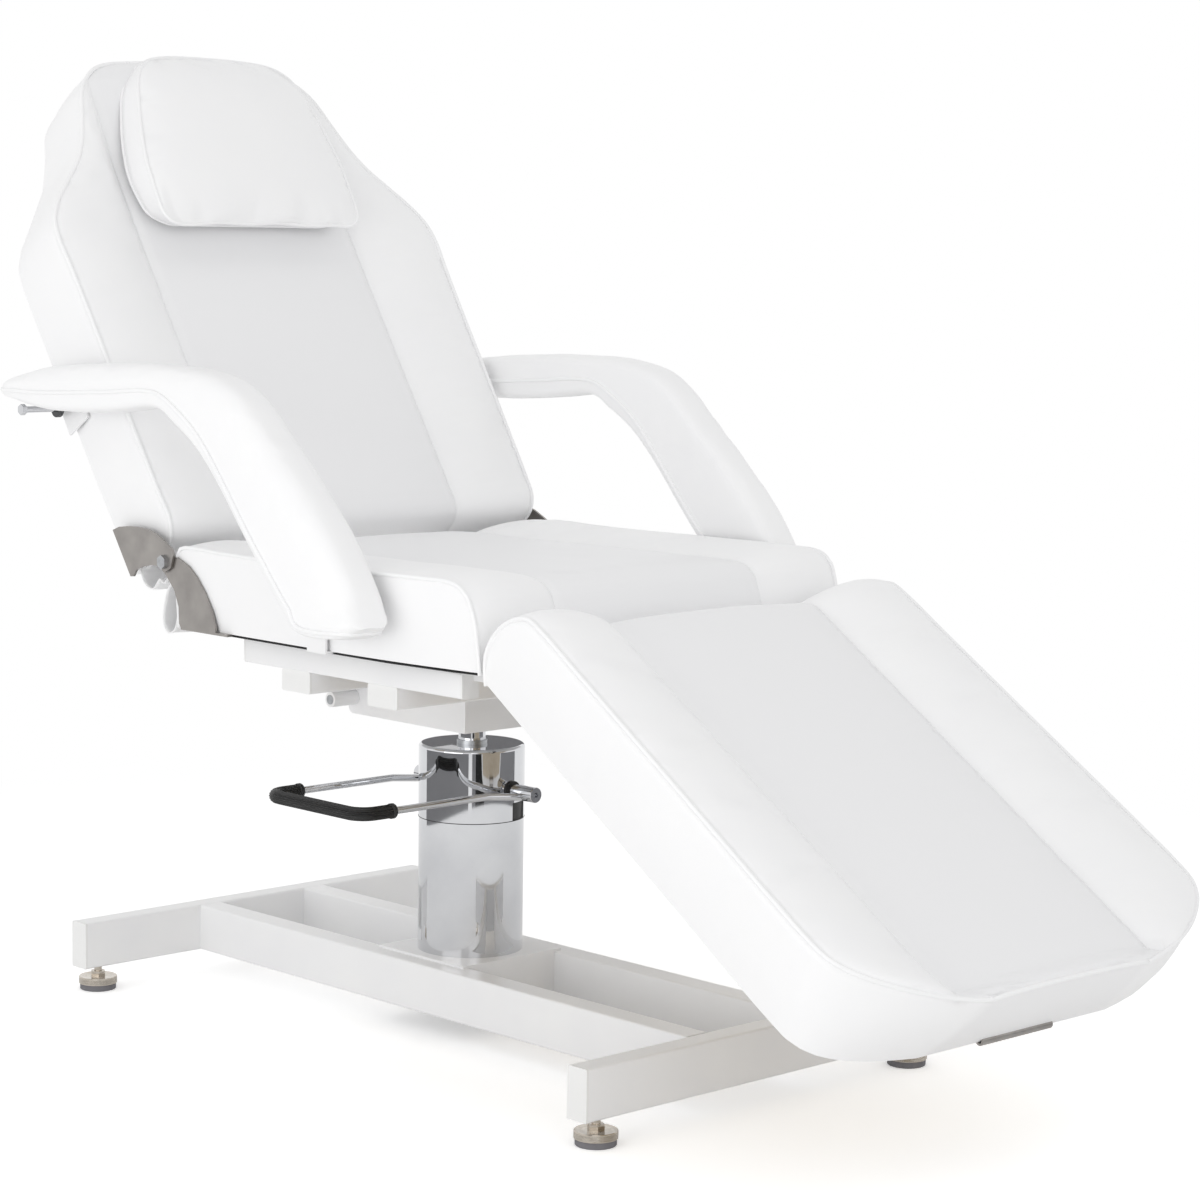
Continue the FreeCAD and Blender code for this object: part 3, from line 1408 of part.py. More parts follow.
nodes = {}
nodes["base_beam_head"] = make_beam(head_beam_place)
nodes["base_beam_foot"] = make_beam(foot_beam_place)
nodes["base_side_beam_left"] = make_side_beam(-1)
nodes["base_side_beam_right"] = make_side_beam(1)
nodes["base_beam_caps"] = make_beam_caps()
nodes["pump_mount"] = make_pump_mount()
for index, (foot_x, foot_y) in enumerate(foot_places()):
    nodes["foot_stud_%d" % (index + 1)] = make_foot_metal(foot_x, foot_y)
    nodes["foot_pad_%d" % (index + 1)] = make_foot_pad(foot_x, foot_y)
nodes["pump_lower_cover"] = make_lower_cover()
nodes["pump_upper_cover"] = make_upper_cover()
nodes["pump_body"] = make_pump_body()
nodes["pump_bolts"] = make_pump_bolts()
nodes["pump_collar"] = make_collar()
nodes["pump_seals"] = group([make_pump_seal()] + make_bushings())
nodes["lift_rod"] = make_lift_rod()
nodes["pedal_bar"] = make_pedal_bar()
nodes["pedal_grip"] = make_pedal_grip()
nodes["swivel_box"] = make_swivel_box()
nodes["strut_anchor_pins"] = make_anchor_pins()
nodes["cross_tube_rear"] = make_cross_tube(cross_rear_place, True)
nodes["cross_tube_front"] = make_cross_tube(cross_front_place, False)
nodes["seat_rail_left"] = make_rail(-1)
nodes["seat_rail_right"] = make_rail(1)
nodes["frame_end_caps"] = make_frame_caps()
nodes["frame_bolts"] = make_frame_bolts()
nodes["seat_board"] = make_seat_board()
nodes["seat_cushion"] = make_seat_cushion()
nodes["seat_bracket_left"] = make_seat_bracket(-1)
nodes["seat_bracket_right"] = make_seat_bracket(1)
nodes["arm_brackets"] = make_arm_brackets()
nodes["leg_hinge_brackets"] = make_leg_hinge_brackets()
nodes["leg_hinge_pins"] = make_leg_hinge_pins()
nodes["rear_flaps"] = make_flaps()
nodes["back_bracket_left"] = make_back_bracket(-1)
nodes["back_bracket_right"] = make_back_bracket(1)
nodes["back_hinge_bolts"] = make_hinge_bolts()
nodes["back_board"] = make_back_board()
nodes["back_cushion"] = make_back_cushion()
nodes["back_strut_lug"] = group(strut_lug(back_frame, back_strut_along, back_strut_level, back_board_level))
nodes["arm_carrier_plates"] = make_back_links()
nodes["arm_pivot_bolts"] = group(make_arm_bolts())
nodes["pillow"] = make_pillow()
nodes["leg_board"] = make_leg_board()
nodes["leg_cushion"] = make_leg_cushion()
nodes["leg_hinge_arms"] = group(make_leg_hinge_arms()
                                + strut_lug(leg_frame, leg_strut_along, leg_strut_level, leg_board_level)
                                + make_handle_hinge())
nodes["leg_handle"] = make_leg_handle()
nodes["back_strut_cylinder"] = make_strut_cylinder(back_anchor, back_end, back_cylinder_length,
                                                   back_anchor_radius)
nodes["back_strut_rod"] = make_strut_rod(back_anchor, back_end, back_rod_length, strut_pin_radius)
nodes["leg_strut_cylinder"] = make_strut_cylinder(leg_anchor, leg_end, leg_cylinder_length, strut_pin_radius)
nodes["leg_strut_rod"] = make_strut_rod(leg_anchor, leg_end, leg_rod_length, strut_pin_radius)
for name, side in (("left", -1), ("right", 1)):
    nodes["arm_pad_" + name] = make_arm_pad(side)
    nodes["arm_steel_" + name] = make_arm_steel(side)

low_y = min(shape.optimalBoundingBox(False).YMin for shape in nodes.values())
high_y = max(shape.optimalBoundingBox(False).YMax for shape in nodes.values())
origin_shift = Vec(0, -(low_y + high_y) * middle, 0)

os.makedirs("parts", exist_ok=True)
for name, shape in nodes.items():
    shape.translate(origin_shift)
    shape.exportStep(os.path.join("parts", name + ".step"))
    solids = shape.Solids
    volume = sum(solid.Volume for solid in solids)
    print("%-22s solids %d volume %.0f valid %s" % (name, len(solids), volume, shape.isValid()))
print("shift", origin_shift.y, "nodes", len(nodes))
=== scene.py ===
import math
import bpy
import bmesh
from mathutils import Matrix, Vector, noise


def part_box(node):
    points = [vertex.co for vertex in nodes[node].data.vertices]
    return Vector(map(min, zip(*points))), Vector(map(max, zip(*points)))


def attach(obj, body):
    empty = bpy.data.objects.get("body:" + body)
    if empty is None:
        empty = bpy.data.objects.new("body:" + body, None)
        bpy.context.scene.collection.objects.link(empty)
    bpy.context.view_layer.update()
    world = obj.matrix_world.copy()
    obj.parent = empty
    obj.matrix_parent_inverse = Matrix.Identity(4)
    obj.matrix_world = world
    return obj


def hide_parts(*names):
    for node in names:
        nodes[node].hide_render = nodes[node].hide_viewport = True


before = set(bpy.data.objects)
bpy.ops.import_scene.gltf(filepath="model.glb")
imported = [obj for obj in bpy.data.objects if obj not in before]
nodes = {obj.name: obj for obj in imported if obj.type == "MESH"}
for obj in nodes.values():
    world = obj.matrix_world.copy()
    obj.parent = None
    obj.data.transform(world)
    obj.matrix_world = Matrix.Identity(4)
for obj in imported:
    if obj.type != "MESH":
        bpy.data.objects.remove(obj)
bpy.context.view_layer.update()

scene = bpy.context.scene
mm = 0.001
weld = 0.02 * mm

# The lift rod's axis is the zero of all lengths below; they are in millimetres until place() makes them metres.
rodLow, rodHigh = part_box("lift_rod")
axisY = (rodLow.y + rodHigh.y) / 2


def place(x, y, z):
    return Vector((x * mm, y * mm + axisY, z * mm))


def tilted(pivotY, pivotZ, angle, sense):
    turn = math.radians(angle)
    alongY, alongZ = sense * math.cos(turn), sense * math.sin(turn)
    upY, upZ = -math.sin(turn), math.cos(turn)

    def at(x, along, level):
        return place(x, pivotY + along * alongY + level * upY, pivotZ + along * alongZ + level * upZ)
    return at


seatAt = tilted(0, 0, 0, 1)
backAt = tilted(214.8, 578.8, 57.147, 1)
legAt = tilted(-351, 505, 33.4, -1)


# materials

def hexColour(code):
    channels = [int(code[i:i + 2], 16) / 255 for i in (1, 3, 5)]
    return tuple(c / 12.92 if c <= 0.04045 else ((c + 0.055) / 1.055) ** 2.4 for c in channels) + (1,)


def addNode(tree, kind, values=None, links=None, **settings):
    node = tree.nodes.new(kind)
    for key, value in settings.items():
        setattr(node, key, value)
    for socket, value in (values or {}).items():
        node.inputs[socket].default_value = value
    for socket, source in (links or {}).items():
        tree.links.new(source, node.inputs[socket])
    return node


def startMaterial(name, colour, roughness, metallic=0.0, ior=1.5):
    material = bpy.data.materials.new(name)
    material.use_nodes = True
    tree = material.node_tree
    shader = tree.nodes["Principled BSDF"]
    shader.inputs["Base Color"].default_value = hexColour(colour)
    shader.inputs["Roughness"].default_value = roughness
    shader.inputs["Metallic"].default_value = metallic
    shader.inputs["IOR"].default_value = ior
    coords = addNode(tree, "ShaderNodeTexCoord")
    return material, tree, shader, coords.outputs["Object"]


def perMetre(sizeInMm):
    return 1000 / sizeInMm


def grainOf(tree, where, sizeInMm, detail):
    noiseNode = addNode(tree, "ShaderNodeTexNoise", {"Scale": perMetre(sizeInMm), "Detail": detail},
                        {"Vector": where})
    return noiseNode.outputs["Fac"]


def tintBy(tree, shader, pattern, dark, light, low=0.3, high=0.7):
    ramp = addNode(tree, "ShaderNodeValToRGB", links={"Fac": pattern})
    ramp.color_ramp.elements[0].position = low
    ramp.color_ramp.elements[1].position = high
    ramp.color_ramp.elements[0].color = hexColour(dark)
    ramp.color_ramp.elements[1].color = hexColour(light)
    tree.links.new(ramp.outputs["Color"], shader.inputs["Base Color"])


def roughBy(tree, shader, pattern, low, high):
    spread = addNode(tree, "ShaderNodeMapRange", {"To Min": low, "To Max": high}, {"Value": pattern})
    tree.links.new(spread.outputs["Result"], shader.inputs["Roughness"])


def bumpBy(tree, shader, layers):
    normal = None
    for pattern, depth in layers:
        bump = addNode(tree, "ShaderNodeBump", {"Distance": depth * mm, "Strength": 1.0}, {"Height": pattern})
        if normal:
            tree.links.new(normal, bump.inputs["Normal"])
        normal = bump.outputs["Normal"]
    tree.links.new(normal, shader.inputs["Normal"])


def upholsteryVinyl():
    # PVC-coated cloth, calendered with a fine pebble grain and a soft sheen; the centre panels get a painted shade,
    # a greyer tint where they catch less light
    look = {"colour": "#FAFAFA", "shade": "#F7F7F8", "centre": "#F2F2F3", "grain": 1.1, "pore": 2.6, "wave": 90}
    material, tree, shader, where = startMaterial("upholsteryVinyl", look["colour"], 0.42)
    grain = addNode(tree, "ShaderNodeTexVoronoi", {"Scale": perMetre(look["grain"])}, {"Vector": where})
    pore = grainOf(tree, where, look["pore"], 3)
    wave = grainOf(tree, where, look["wave"], 2)
    ramp = addNode(tree, "ShaderNodeValToRGB", links={"Fac": wave})
    ramp.color_ramp.elements[0].color = hexColour(look["shade"])
    ramp.color_ramp.elements[1].color = hexColour(look["colour"])
    # painted shade: this attribute greys the centre panels as if less light fell on them
    panel = addNode(tree, "ShaderNodeAttribute", attribute_name="centrePanelShade")
    tone = addNode(tree, "ShaderNodeMixRGB", {"Color2": hexColour(look["centre"])},
                   {"Fac": panel.outputs["Fac"], "Color1": ramp.outputs["Color"]})
    tree.links.new(tone.outputs["Color"], shader.inputs["Base Color"])
    roughBy(tree, shader, pore, 0.36, 0.5)
    bumpBy(tree, shader, [(wave, 0.25), (pore, 0.04), (grain.outputs["Distance"], 0.03)])
    shader.inputs["Sheen Weight"].default_value = 0.08
    return material


def powderCoat():
    # baked polyester powder on steel tube, with a faint orange peel
    look = {"colour": "#F6F6F6", "shade": "#F3F3F4", "peel": 3.2, "wide": 90}
    material, tree, shader, where = startMaterial("whitePowderCoat", look["colour"], 0.3)
    peel = grainOf(tree, where, look["peel"], 2)
    wide = grainOf(tree, where, look["wide"], 2)
    tintBy(tree, shader, wide, look["shade"], look["colour"])
    roughBy(tree, shader, wide, 0.26, 0.38)
    bumpBy(tree, shader, [(peel, 0.05)])
    return material


def capPlastic():
    # injection-moulded polyethylene end caps, dull and a little warmer than the paint
    material, tree, shader, where = startMaterial("endCapPolyethylene", "#F0F0EF", 0.45)
    spark = grainOf(tree, where, 0.9, 2)
    roughBy(tree, shader, spark, 0.4, 0.55)
    bumpBy(tree, shader, [(spark, 0.02)])
    return material


def mirrorChrome():
    # buffed steel under bright chromium plate: a clear mirror with faint handling haze
    material, tree, shader, where = startMaterial("chromePlatedSteel", "#D6D7D9", 0.05, 1.0)
    haze = grainOf(tree, where, 60, 4)
    roughBy(tree, shader, haze, 0.015, 0.045)
    tintBy(tree, shader, haze, "#CFD0D3", "#DADBDD")
    return material


def stainlessPlate():
    # laser-cut stainless sheet, brushed along its length
    material, tree, shader, where = startMaterial("brushedStainless", "#A39F9B", 0.32, 1.0)
    turned = addNode(tree, "ShaderNodeMapping", {"Rotation": (math.radians(40), 0, 0), "Scale": (1, 0.04, 1)},
                     {"Vector": where})
    lines = grainOf(tree, turned.outputs["Vector"], 0.7, 3)
    cloud = grainOf(tree, where, 35, 3)
    tintBy(tree, shader, cloud, "#96928F", "#A9A5A1")
    roughBy(tree, shader, lines, 0.25, 0.42)
    bumpBy(tree, shader, [(lines, 0.015)])
    return material


def nickelPlate():
    # turned steel with bright nickel, a little yellow against chrome
    material, tree, shader, where = startMaterial("nickelPlatedSteel", "#C9C1B6", 0.16, 1.0)
    turned = addNode(tree, "ShaderNodeMapping", {"Scale": (0.05, 0.05, 1)}, {"Vector": where})
    rings = grainOf(tree, turned.outputs["Vector"], 0.5, 2)
    roughBy(tree, shader, rings, 0.12, 0.24)
    tintBy(tree, shader, rings, "#B9B0A4", "#D2CBC1")
    # fine grooves round the edge of each levelling disc, between two heights
    height = addNode(tree, "ShaderNodeSeparateXYZ", links={"Vector": where})
    wave = addNode(tree, "ShaderNodeTexWave", {"Scale": 0.314 * perMetre(1.4)}, {"Vector": where},
                   bands_direction="Z", wave_profile="SIN")
    above = addNode(tree, "ShaderNodeMath", {1: 9 * mm}, {0: height.outputs["Z"]}, operation="GREATER_THAN")
    below = addNode(tree, "ShaderNodeMath", {1: 15.6 * mm}, {0: height.outputs["Z"]}, operation="LESS_THAN")
    band = addNode(tree, "ShaderNodeMath", links={0: above.outputs["Value"], 1: below.outputs["Value"]},
                   operation="MULTIPLY")
    cut = addNode(tree, "ShaderNodeMath", links={0: band.outputs["Value"], 1: wave.outputs["Fac"]},
                  operation="MULTIPLY")
    bumpBy(tree, shader, [(cut.outputs["Value"], 0.5)])
    return material


def zincSteel():
    # zinc-plated bolts and pins
    material, tree, shader, where = startMaterial("zincPlatedSteel", "#B4B6B8", 0.3, 1.0)
    bloom = grainOf(tree, where, 5, 3)
    roughBy(tree, shader, bloom, 0.24, 0.42)
    tintBy(tree, shader, bloom, "#A4A6A9", "#BEC0C2")
    return material


def moulded(name, colour, roughness, grain, depth):
    # a dull, evenly coloured skin with a fine grain
    material, tree, shader, where = startMaterial(name, colour, roughness)
    skin = grainOf(tree, where, grain, 3)
    roughBy(tree, shader, skin, roughness - 0.08, roughness + 0.08)
    bumpBy(tree, shader, [(skin, depth)])
    return material


def birchPly():
    # sanded birch plywood, long pale grain
    material, tree, shader, where = startMaterial("birchPlywood", "#CFC2AC", 0.6)
    turned = addNode(tree, "ShaderNodeMapping", {"Scale": (1, 0.06, 1)}, {"Vector": where})
    grain = grainOf(tree, turned.outputs["Vector"], 6, 5)
    tintBy(tree, shader, grain, "#BFAE94", "#DCD1BE")
    bumpBy(tree, shader, [(grain, 0.1)])
    return material


def coverSheet():
    # white melamine-faced sheet behind the backrest
    material, tree, shader, where = startMaterial("whiteMelamine", "#F2F2F1", 0.35)
    skin = grainOf(tree, where, 1.8, 2)
    roughBy(tree, shader, skin, 0.3, 0.42)
    bumpBy(tree, shader, [(skin, 0.02)])
    return material


vinyl = upholsteryVinyl()
paint = powderCoat()
chrome = mirrorChrome()
stainless = stainlessPlate()
nickel = nickelPlate()
zinc = zincSteel()
blackRubber = moulded("mouldedBlackRubber", "#161616", 0.5, 1.5, 0.04)   # soft nitrile, satin
greyRubber = moulded("mouldedGreyRubber", "#77767A", 0.7, 1.2, 0.04)     # foot pads, dull
darkSteel = moulded("darkPhosphatedSteel", "#3A3B3D", 0.42, 1.0, 0.02)   # phosphated sheet under oil
pumpPaint = moulded("hammeredPumpPaint", "#4A4C50", 0.45, 2.0, 0.08)     # cast body, painted
capWhite = capPlastic()
plywood = birchPly()
melamine = coverSheet()

nodeLooks = {
    paint: ["base_beam", "base_side", "pump_mount", "swivel_box", "cross_tube", "seat_rail", "back_strut_lug",
            "arm_carrier", "arm_brackets", "leg_hinge_arms", "leg_hinge_brackets"],
    capWhite: ["base_beam_caps", "frame_end_caps"],
    chrome: ["pump_lower", "pump_upper", "lift_rod", "pedal_bar", "arm_pivot_bolts", "back_strut_rod",
             "leg_strut_rod"],
    zinc: ["pump_collar", "strut_anchor", "frame_bolts", "leg_hinge_pins", "back_hinge_bolts", "pump_bolts"],
    stainless: ["seat_bracket", "back_bracket", "leg_handle"],
    nickel: ["foot_stud"],
    greyRubber: ["foot_pad"],
    blackRubber: ["pump_seals", "pedal_grip"],
    darkSteel: ["arm_steel", "back_strut_cylinder", "leg_strut_cylinder"],
    pumpPaint: ["pump_body"],
    plywood: ["seat_board", "leg_board"],
    melamine: ["back_board"],
    vinyl: ["seat_cushion", "back_cushion", "leg_cushion", "pillow", "arm_pad", "rear_flaps"],
}
for look, starts in nodeLooks.items():
    for name, node in nodes.items():
        if any(name.startswith(start) for start in starts):
            node.data.materials.clear()
            node.data.materials.append(look)
print("materials done")


# shared mesh steps

def newPiece(name, mesh, material, body, sharpAngle=50):
    piece = bpy.data.objects.new(name, mesh)
    scene.collection.objects.link(piece)
    mesh.materials.clear()
    mesh.materials.append(material)
    for polygon in mesh.polygons:
        polygon.use_smooth = True
    mesh.set_sharp_from_angle(angle=math.radians(sharpAngle))
    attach(piece, body)
    return piece


def meshFrom(bm, name):
    bmesh.ops.recalc_face_normals(bm, faces=bm.faces)
    mesh = bpy.data.meshes.new(name)
    bm.to_mesh(mesh)
    bm.free()
    return mesh


def smoothRows(keys, spacing):
    # rows through the key rows, about one spacing apart; slopes go by each key's neighbours
    rows = []
    spans = [max(math.dist(a[:3], b[:3]), 1e-6) for a, b in zip(keys, keys[1:])]
    steep = [[(b - a) / span for a, b in zip(start, end)] for start, end, span in zip(keys, keys[1:], spans)]
    slopes = [steep[0]] + [[(a + b) / 2 for a, b in zip(before, after)]
                           for before, after in zip(steep, steep[1:])] + [steep[-1]]
    for i, span in enumerate(spans):
        steps = max(1, round(span / spacing))
        for step in range(steps):
            t = step / steps
            weights = (2 * t ** 3 - 3 * t ** 2 + 1, (t ** 3 - 2 * t ** 2 + t) * span,
                       3 * t ** 2 - 2 * t ** 3, (t ** 3 - t ** 2) * span)
            rows.append([sum(w * v for w, v in zip(weights, values))
                         for values in zip(keys[i], slopes[i], keys[i + 1], slopes[i + 1])])
    rows.append(list(keys[-1]))
    return rows


def between(table, at):
    # a value read off a table of (place, value) pairs
    for (low, a), (high, b) in zip(table, table[1:]):
        if at <= high:
            return a + (b - a) * max(0, at - low) / (high - low)
    return table[-1][1]


def gridOf(rowCount, columnCount, *marks):
    bm = bmesh.new()
    layers = [bm.verts.layers.float.new(mark) for mark in marks]
    bmesh.ops.create_grid(bm, x_segments=columnCount - 1, y_segments=rowCount - 1, size=1)
    grid = {}
    for vert in bm.verts:
        i = round((vert.co.y + 1) / 2 * (rowCount - 1))
        j = round((vert.co.x + 1) / 2 * (columnCount - 1))
        grid[i, j] = vert
    return (bm, grid, *layers)


def rimOf(rowCount, columnCount):
    keys = [(0, j) for j in range(columnCount)] + [(i, columnCount - 1) for i in range(1, rowCount)]
    keys += [(rowCount - 1, j) for j in range(columnCount - 2, -1, -1)]
    return keys + [(i, 0) for i in range(rowCount - 2, 0, -1)]


def ringEdges(bm, ring):
    return [bm.edges.get((ring[k - 1], ring[k])) for k in range(len(ring))]


def nextRing(bm, ring, spots, layer):
    # extrudes a closed ring of points; what it adds stays still when the cover is blown up
    made = bmesh.ops.extrude_edge_only(bm, edges=ringEdges(bm, ring))
    fresh = {item for item in made["geom"] if isinstance(item, bmesh.types.BMVert)}
    follow = {}
    for vert in fresh:
        for edge in vert.link_edges:
            if edge.other_vert(vert) not in fresh:
                follow[edge.other_vert(vert)] = vert
    ring = [follow[vert] for vert in ring]
    for vert, spot in zip(ring, spots):
        vert.co = spot
        vert[layer] = 1
    return ring


airLook = {"frames": 20, "quality": 4}


def swell(piece, pressure, reach, grow):
    # the cover is blown up from its seams by a cloth simulation, and no point goes further than reach
    group = piece.vertex_groups.new(name="sewn")
    for index, item in enumerate(piece.data.attributes["sewn"].data):
        group.add([index], item.value, "REPLACE")
    start = [vert.co.copy() for vert in piece.data.vertices]
    air = piece.modifiers.new("air", "CLOTH")
    air.settings.quality = airLook["quality"]
    air.settings.use_pressure = True
    air.settings.uniform_pressure_force = pressure
    air.settings.vertex_group_mass = "sewn"
    air.settings.shrink_min = -grow
    air.settings.effector_weights.gravity = 0
    air.point_cache.frame_end = airLook["frames"]
    for frameNumber in range(1, airLook["frames"] + 1):
        scene.frame_set(frameNumber)
    blown = piece.evaluated_get(bpy.context.evaluated_depsgraph_get()).data
    ends = [vert.co.copy() for vert in blown.vertices]
    piece.modifiers.remove(air)
    piece.vertex_groups.remove(group)
    scene.frame_set(1)
    for vert, before, after in zip(piece.data.vertices, start, ends):
        move = after - before
        vert.co = before + move * (reach * mm / (reach * mm + move.length))


def tube(name, points, radius, material, body, closed=False, sides=4):
    # a round bead along a line of points
    curve = bpy.data.curves.new(name, "CURVE")
    curve.dimensions = "3D"
    curve.bevel_depth = radius * mm
    curve.bevel_resolution = sides
    curve.use_fill_caps = not closed
    spline = curve.splines.new("POLY")
    spline.points.add(len(points) - 1)
    for point, spot in zip(spline.points, points):
        point.co = (*spot, 1)
    spline.use_cyclic_u = closed
    holder = bpy.data.objects.new(name + "Line", curve)
    mesh = bpy.data.meshes.new_from_object(holder)
    bpy.data.objects.remove(holder)
    return newPiece(name, mesh, material, body, 60)


# cushions: a top of three panels sewn along two channels, walls down to the board, and the cover's edge turned
# under the board and up round it; they share the widths over which effects fade, the grain of ripples, the powers
# of the panels' curves, and the steps of the grid
# one entry gives the share of painted shade on the centre panels beside the seams
sewingLook = {"rim": 0.5, "narrow": 60, "leastSide": 4, "fade": 14, "centreShadeAtSeam": 0.3, "ripple": (45, 60),
              "pucker": (160, 13), "wallRipple": (60, 26, 2.4), "wallFade": 60, "sidePower": 0.7, "dropPower": 1.4,
              "centrePower": 0.6, "boardThickness": 13, "coverThickness": 0.5, "clear": 2.5, "openEnd": 40,
              "pressure": 3.0, "grow": 0.006, "fill": 0.9, "groove": 1.8, "spacing": 9, "sideSteps": 14,
              "centreSteps": 26, "lip": 30, "bead": 2.6}


def columnPlaces(half, seamHalf):
    # places across one row, from -half to half, with columns close beside both seams
    seam = min(seamHalf, half - sewingLook["leastSide"])
    groove = min(sewingLook["groove"], (half - seam) / 3)
    sides, centres = sewingLook["sideSteps"], sewingLook["centreSteps"]
    side = [seam + groove + (half - seam - groove) * i / sides for i in range(sides + 1)]
    inner = [(seam - groove) * (2 * i / centres - 1) for i in range(centres + 1)]
    return seam, groove, [-x for x in reversed(side)] + [-seam] + inner + [seam] + side


def hump(share, power):
    return max(0, math.sin(math.pi * share)) ** power


def panelLift(spec, wide, seam, half, groove):
    # the seams' depth and the side panels' crown both end where the side panels do
    look = sewingLook
    narrow = min(1, (half - seam) / look["narrow"])
    if wide >= seam:
        share = (wide - seam) / (half - seam)
        drop = spec["seamDrop"] * max(0, 1 - share) ** look["dropPower"]
        lift = narrow * (spec["sideCrown"] * hump(share, look["sidePower"]) - drop)
    else:
        crown = spec["centreCrown"] * max(0, 1 - (wide / seam) ** 2) ** look["centrePower"]
        lift = crown - spec["seamDrop"] * narrow
    if abs(wide - seam) < groove / 2:
        lift -= spec["grooveDepth"] * narrow
    return lift


def outside(board):
    # least half widths of a cover's foot: a little outside the board, up to near its end
    end = board[-1][0] - sewingLook["openEnd"]
    return [(along, wide + sewingLook["clear"]) for along, wide in board if along < end] + [(end + 1, 0)]


def cushionTop(spec, at):
    # the sewn top, with its rim's points and where each of them is on the flat profile
    look = sewingLook
    rows = smoothRows(spec["rows"], look["spacing"])
    rowCount, columnCount = len(rows), 2 * look["sideSteps"] + look["centreSteps"] + 5
    bm, grid, sewn, centrePanelShade = gridOf(rowCount, columnCount, "sewn", "centrePanelShade")
    (rippleX, rippleAlong), (puckerX, puckerAlong) = look["ripple"], look["pucker"]
    flatPlaces = {}
    for i, (along, level, half, fill) in enumerate(rows):
        before, after = rows[max(i - 1, 0)], rows[min(i + 1, rowCount - 1)]
        run = math.hypot(after[0] - before[0], after[1] - before[1])
        # the profile's outward direction, in the plane of along and level
        outAlong = (before[1] - after[1]) / run * spec["turn"]
        outLevel = (after[0] - before[0]) / run * spec["turn"]
        if i > rowCount / 2 and half < spec["flatEnd"]:
            outAlong, outLevel = 0, 1
        seam, groove, places = columnPlaces(half, spec["seamHalf"])
        for j, x in enumerate(places):
            wide = abs(x)
            lift = panelLift(spec, wide, seam, half, groove)
            ripple = noise.noise(Vector((x / rippleX, along / rippleAlong, level / rippleAlong))) * spec["ripple"]
            nearSeam = math.exp(-abs(wide - seam) / look["fade"]) + math.exp(-(half - wide) / look["fade"])
            pucker = noise.noise(Vector((x / puckerX, along / puckerAlong, level / puckerAlong)))
            pucker *= spec["pucker"] * nearSeam
            rise = lift * fill + (ripple + pucker) * min(1, fill) * (wide < half - look["rim"])
            vert = grid[i, j]
            vert.co = at(x, along + outAlong * rise, level + outLevel * rise)
            seamed = abs(wide - seam) < groove * 1.2 or wide > half - look["rim"] or i in (0, rowCount - 1)
            vert[sewn] = 1 if seamed or spec["still"](x, along) else 0
            # painted shade on the centre panel: greyer further in from the seams, scaled by the fill
            vert[centrePanelShade] = max(0, min(1, (seam - wide) / look["fade"] + look["centreShadeAtSeam"])) * fill
            flatPlaces[i, j] = (x, along, level, half)
    rim = rimOf(rowCount, columnCount)
    return bm, sewn, [grid[key] for key in rim], [flatPlaces[key] for key in rim]


def outwardOf(ring, up):
    # directions away from a closed line of points, square to the line and to up
    middle = sum(ring, Vector()) / len(ring)
    outward = []
    for k in range(len(ring)):
        tangent = ring[(k + 1) % len(ring)] - ring[k - 1]
        side = (tangent - up * tangent.dot(up)).cross(up)
        outward.append(side.normalized() if side.length > 1e-7 else side)
    if sum((spot - middle).dot(side) for spot, side in zip(ring, outward)) < 0:
        outward = [-side for side in outward]
    return outward


def cushion(name, spec, at, body, replaced):
    look, sole, steps = sewingLook, spec["sole"], spec["wallSteps"]
    bm, sewn, ring, spots = cushionTop(spec, at)
    piping = [vert.co.copy() for vert in ring]
    outward = outwardOf(piping, (at(0, 0, 1) - at(0, 0, 0)).normalized())
    feet = []
    for x, along, level, half in spots:
        footAlong = min(max(along, spec["low"]), spec["high"]) - spec["drawIn"](along)
        footHalf = max(half * spec["footShare"], between(spec["foot"], footAlong))
        feet.append((x / half * footHalf, footAlong))
    wobbleX, wobbleAlong, wobbleDown = look["wallRipple"]
    for step in range(1, steps + 1):
        share = step / steps
        line = []
        for top, out, (footX, footAlong), (x, along, level, half) in zip(piping, outward, feet, spots):
            deep = min(1, (level - sole) / look["wallFade"]) * math.sin(math.pi * share)
            wobble = noise.noise(Vector((x / wobbleX, along / wobbleAlong, share * wobbleDown)))
            bulge = spec["wallBulge"] + wobble * spec["wallRipple"]
            line.append(top.lerp(at(footX, footAlong, sole), share) + out * bulge * deep * mm)
        ring = nextRing(bm, ring, line, sewn)
    # the turned-in edge: to under the board, one cover's thickness up, out again and up round the board
    lip, cover = look["lip"], look["coverThickness"]
    boardLow, boardHigh = spec["board"][0][0], spec["board"][-1][0]
    for inset, level in ((lip, sole), (lip, sole + cover), (-cover, sole + cover),
                         (-cover, sole + look["boardThickness"])):
        line = []
        for x, along in feet:
            along = min(max(along, boardLow + inset), boardHigh - inset)
            wide = between(spec["board"], along) - inset
            line.append(at(max(-wide, min(wide, x)), along, level))
        ring = nextRing(bm, ring, line, sewn)
    bmesh.ops.holes_fill(bm, edges=ringEdges(bm, ring), sides=0)
    bmesh.ops.remove_doubles(bm, verts=bm.verts, dist=weld)
    piece = newPiece(name, meshFrom(bm, name), vinyl, body, 70)
    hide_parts(*replaced)
    swell(piece, look["pressure"], spec["reach"], look["grow"])
    tube(name + "Piping", piping, look["bead"], vinyl, body, closed=True)
    print(name, len(piece.data.polygons))


# backrest: rows give place, level, half width and fill, from the lower end to the head end
backBoard = [(34, 286.7), (60, 290.9), (150, 295.5), (300, 298.7), (440, 301.8), (470, 299), (500, 283.6),
             (536, 257.2), (592, 217.2), (635, 197.8), (676, 180), (700, 163.6), (712, 146.4), (718.5, 132)]


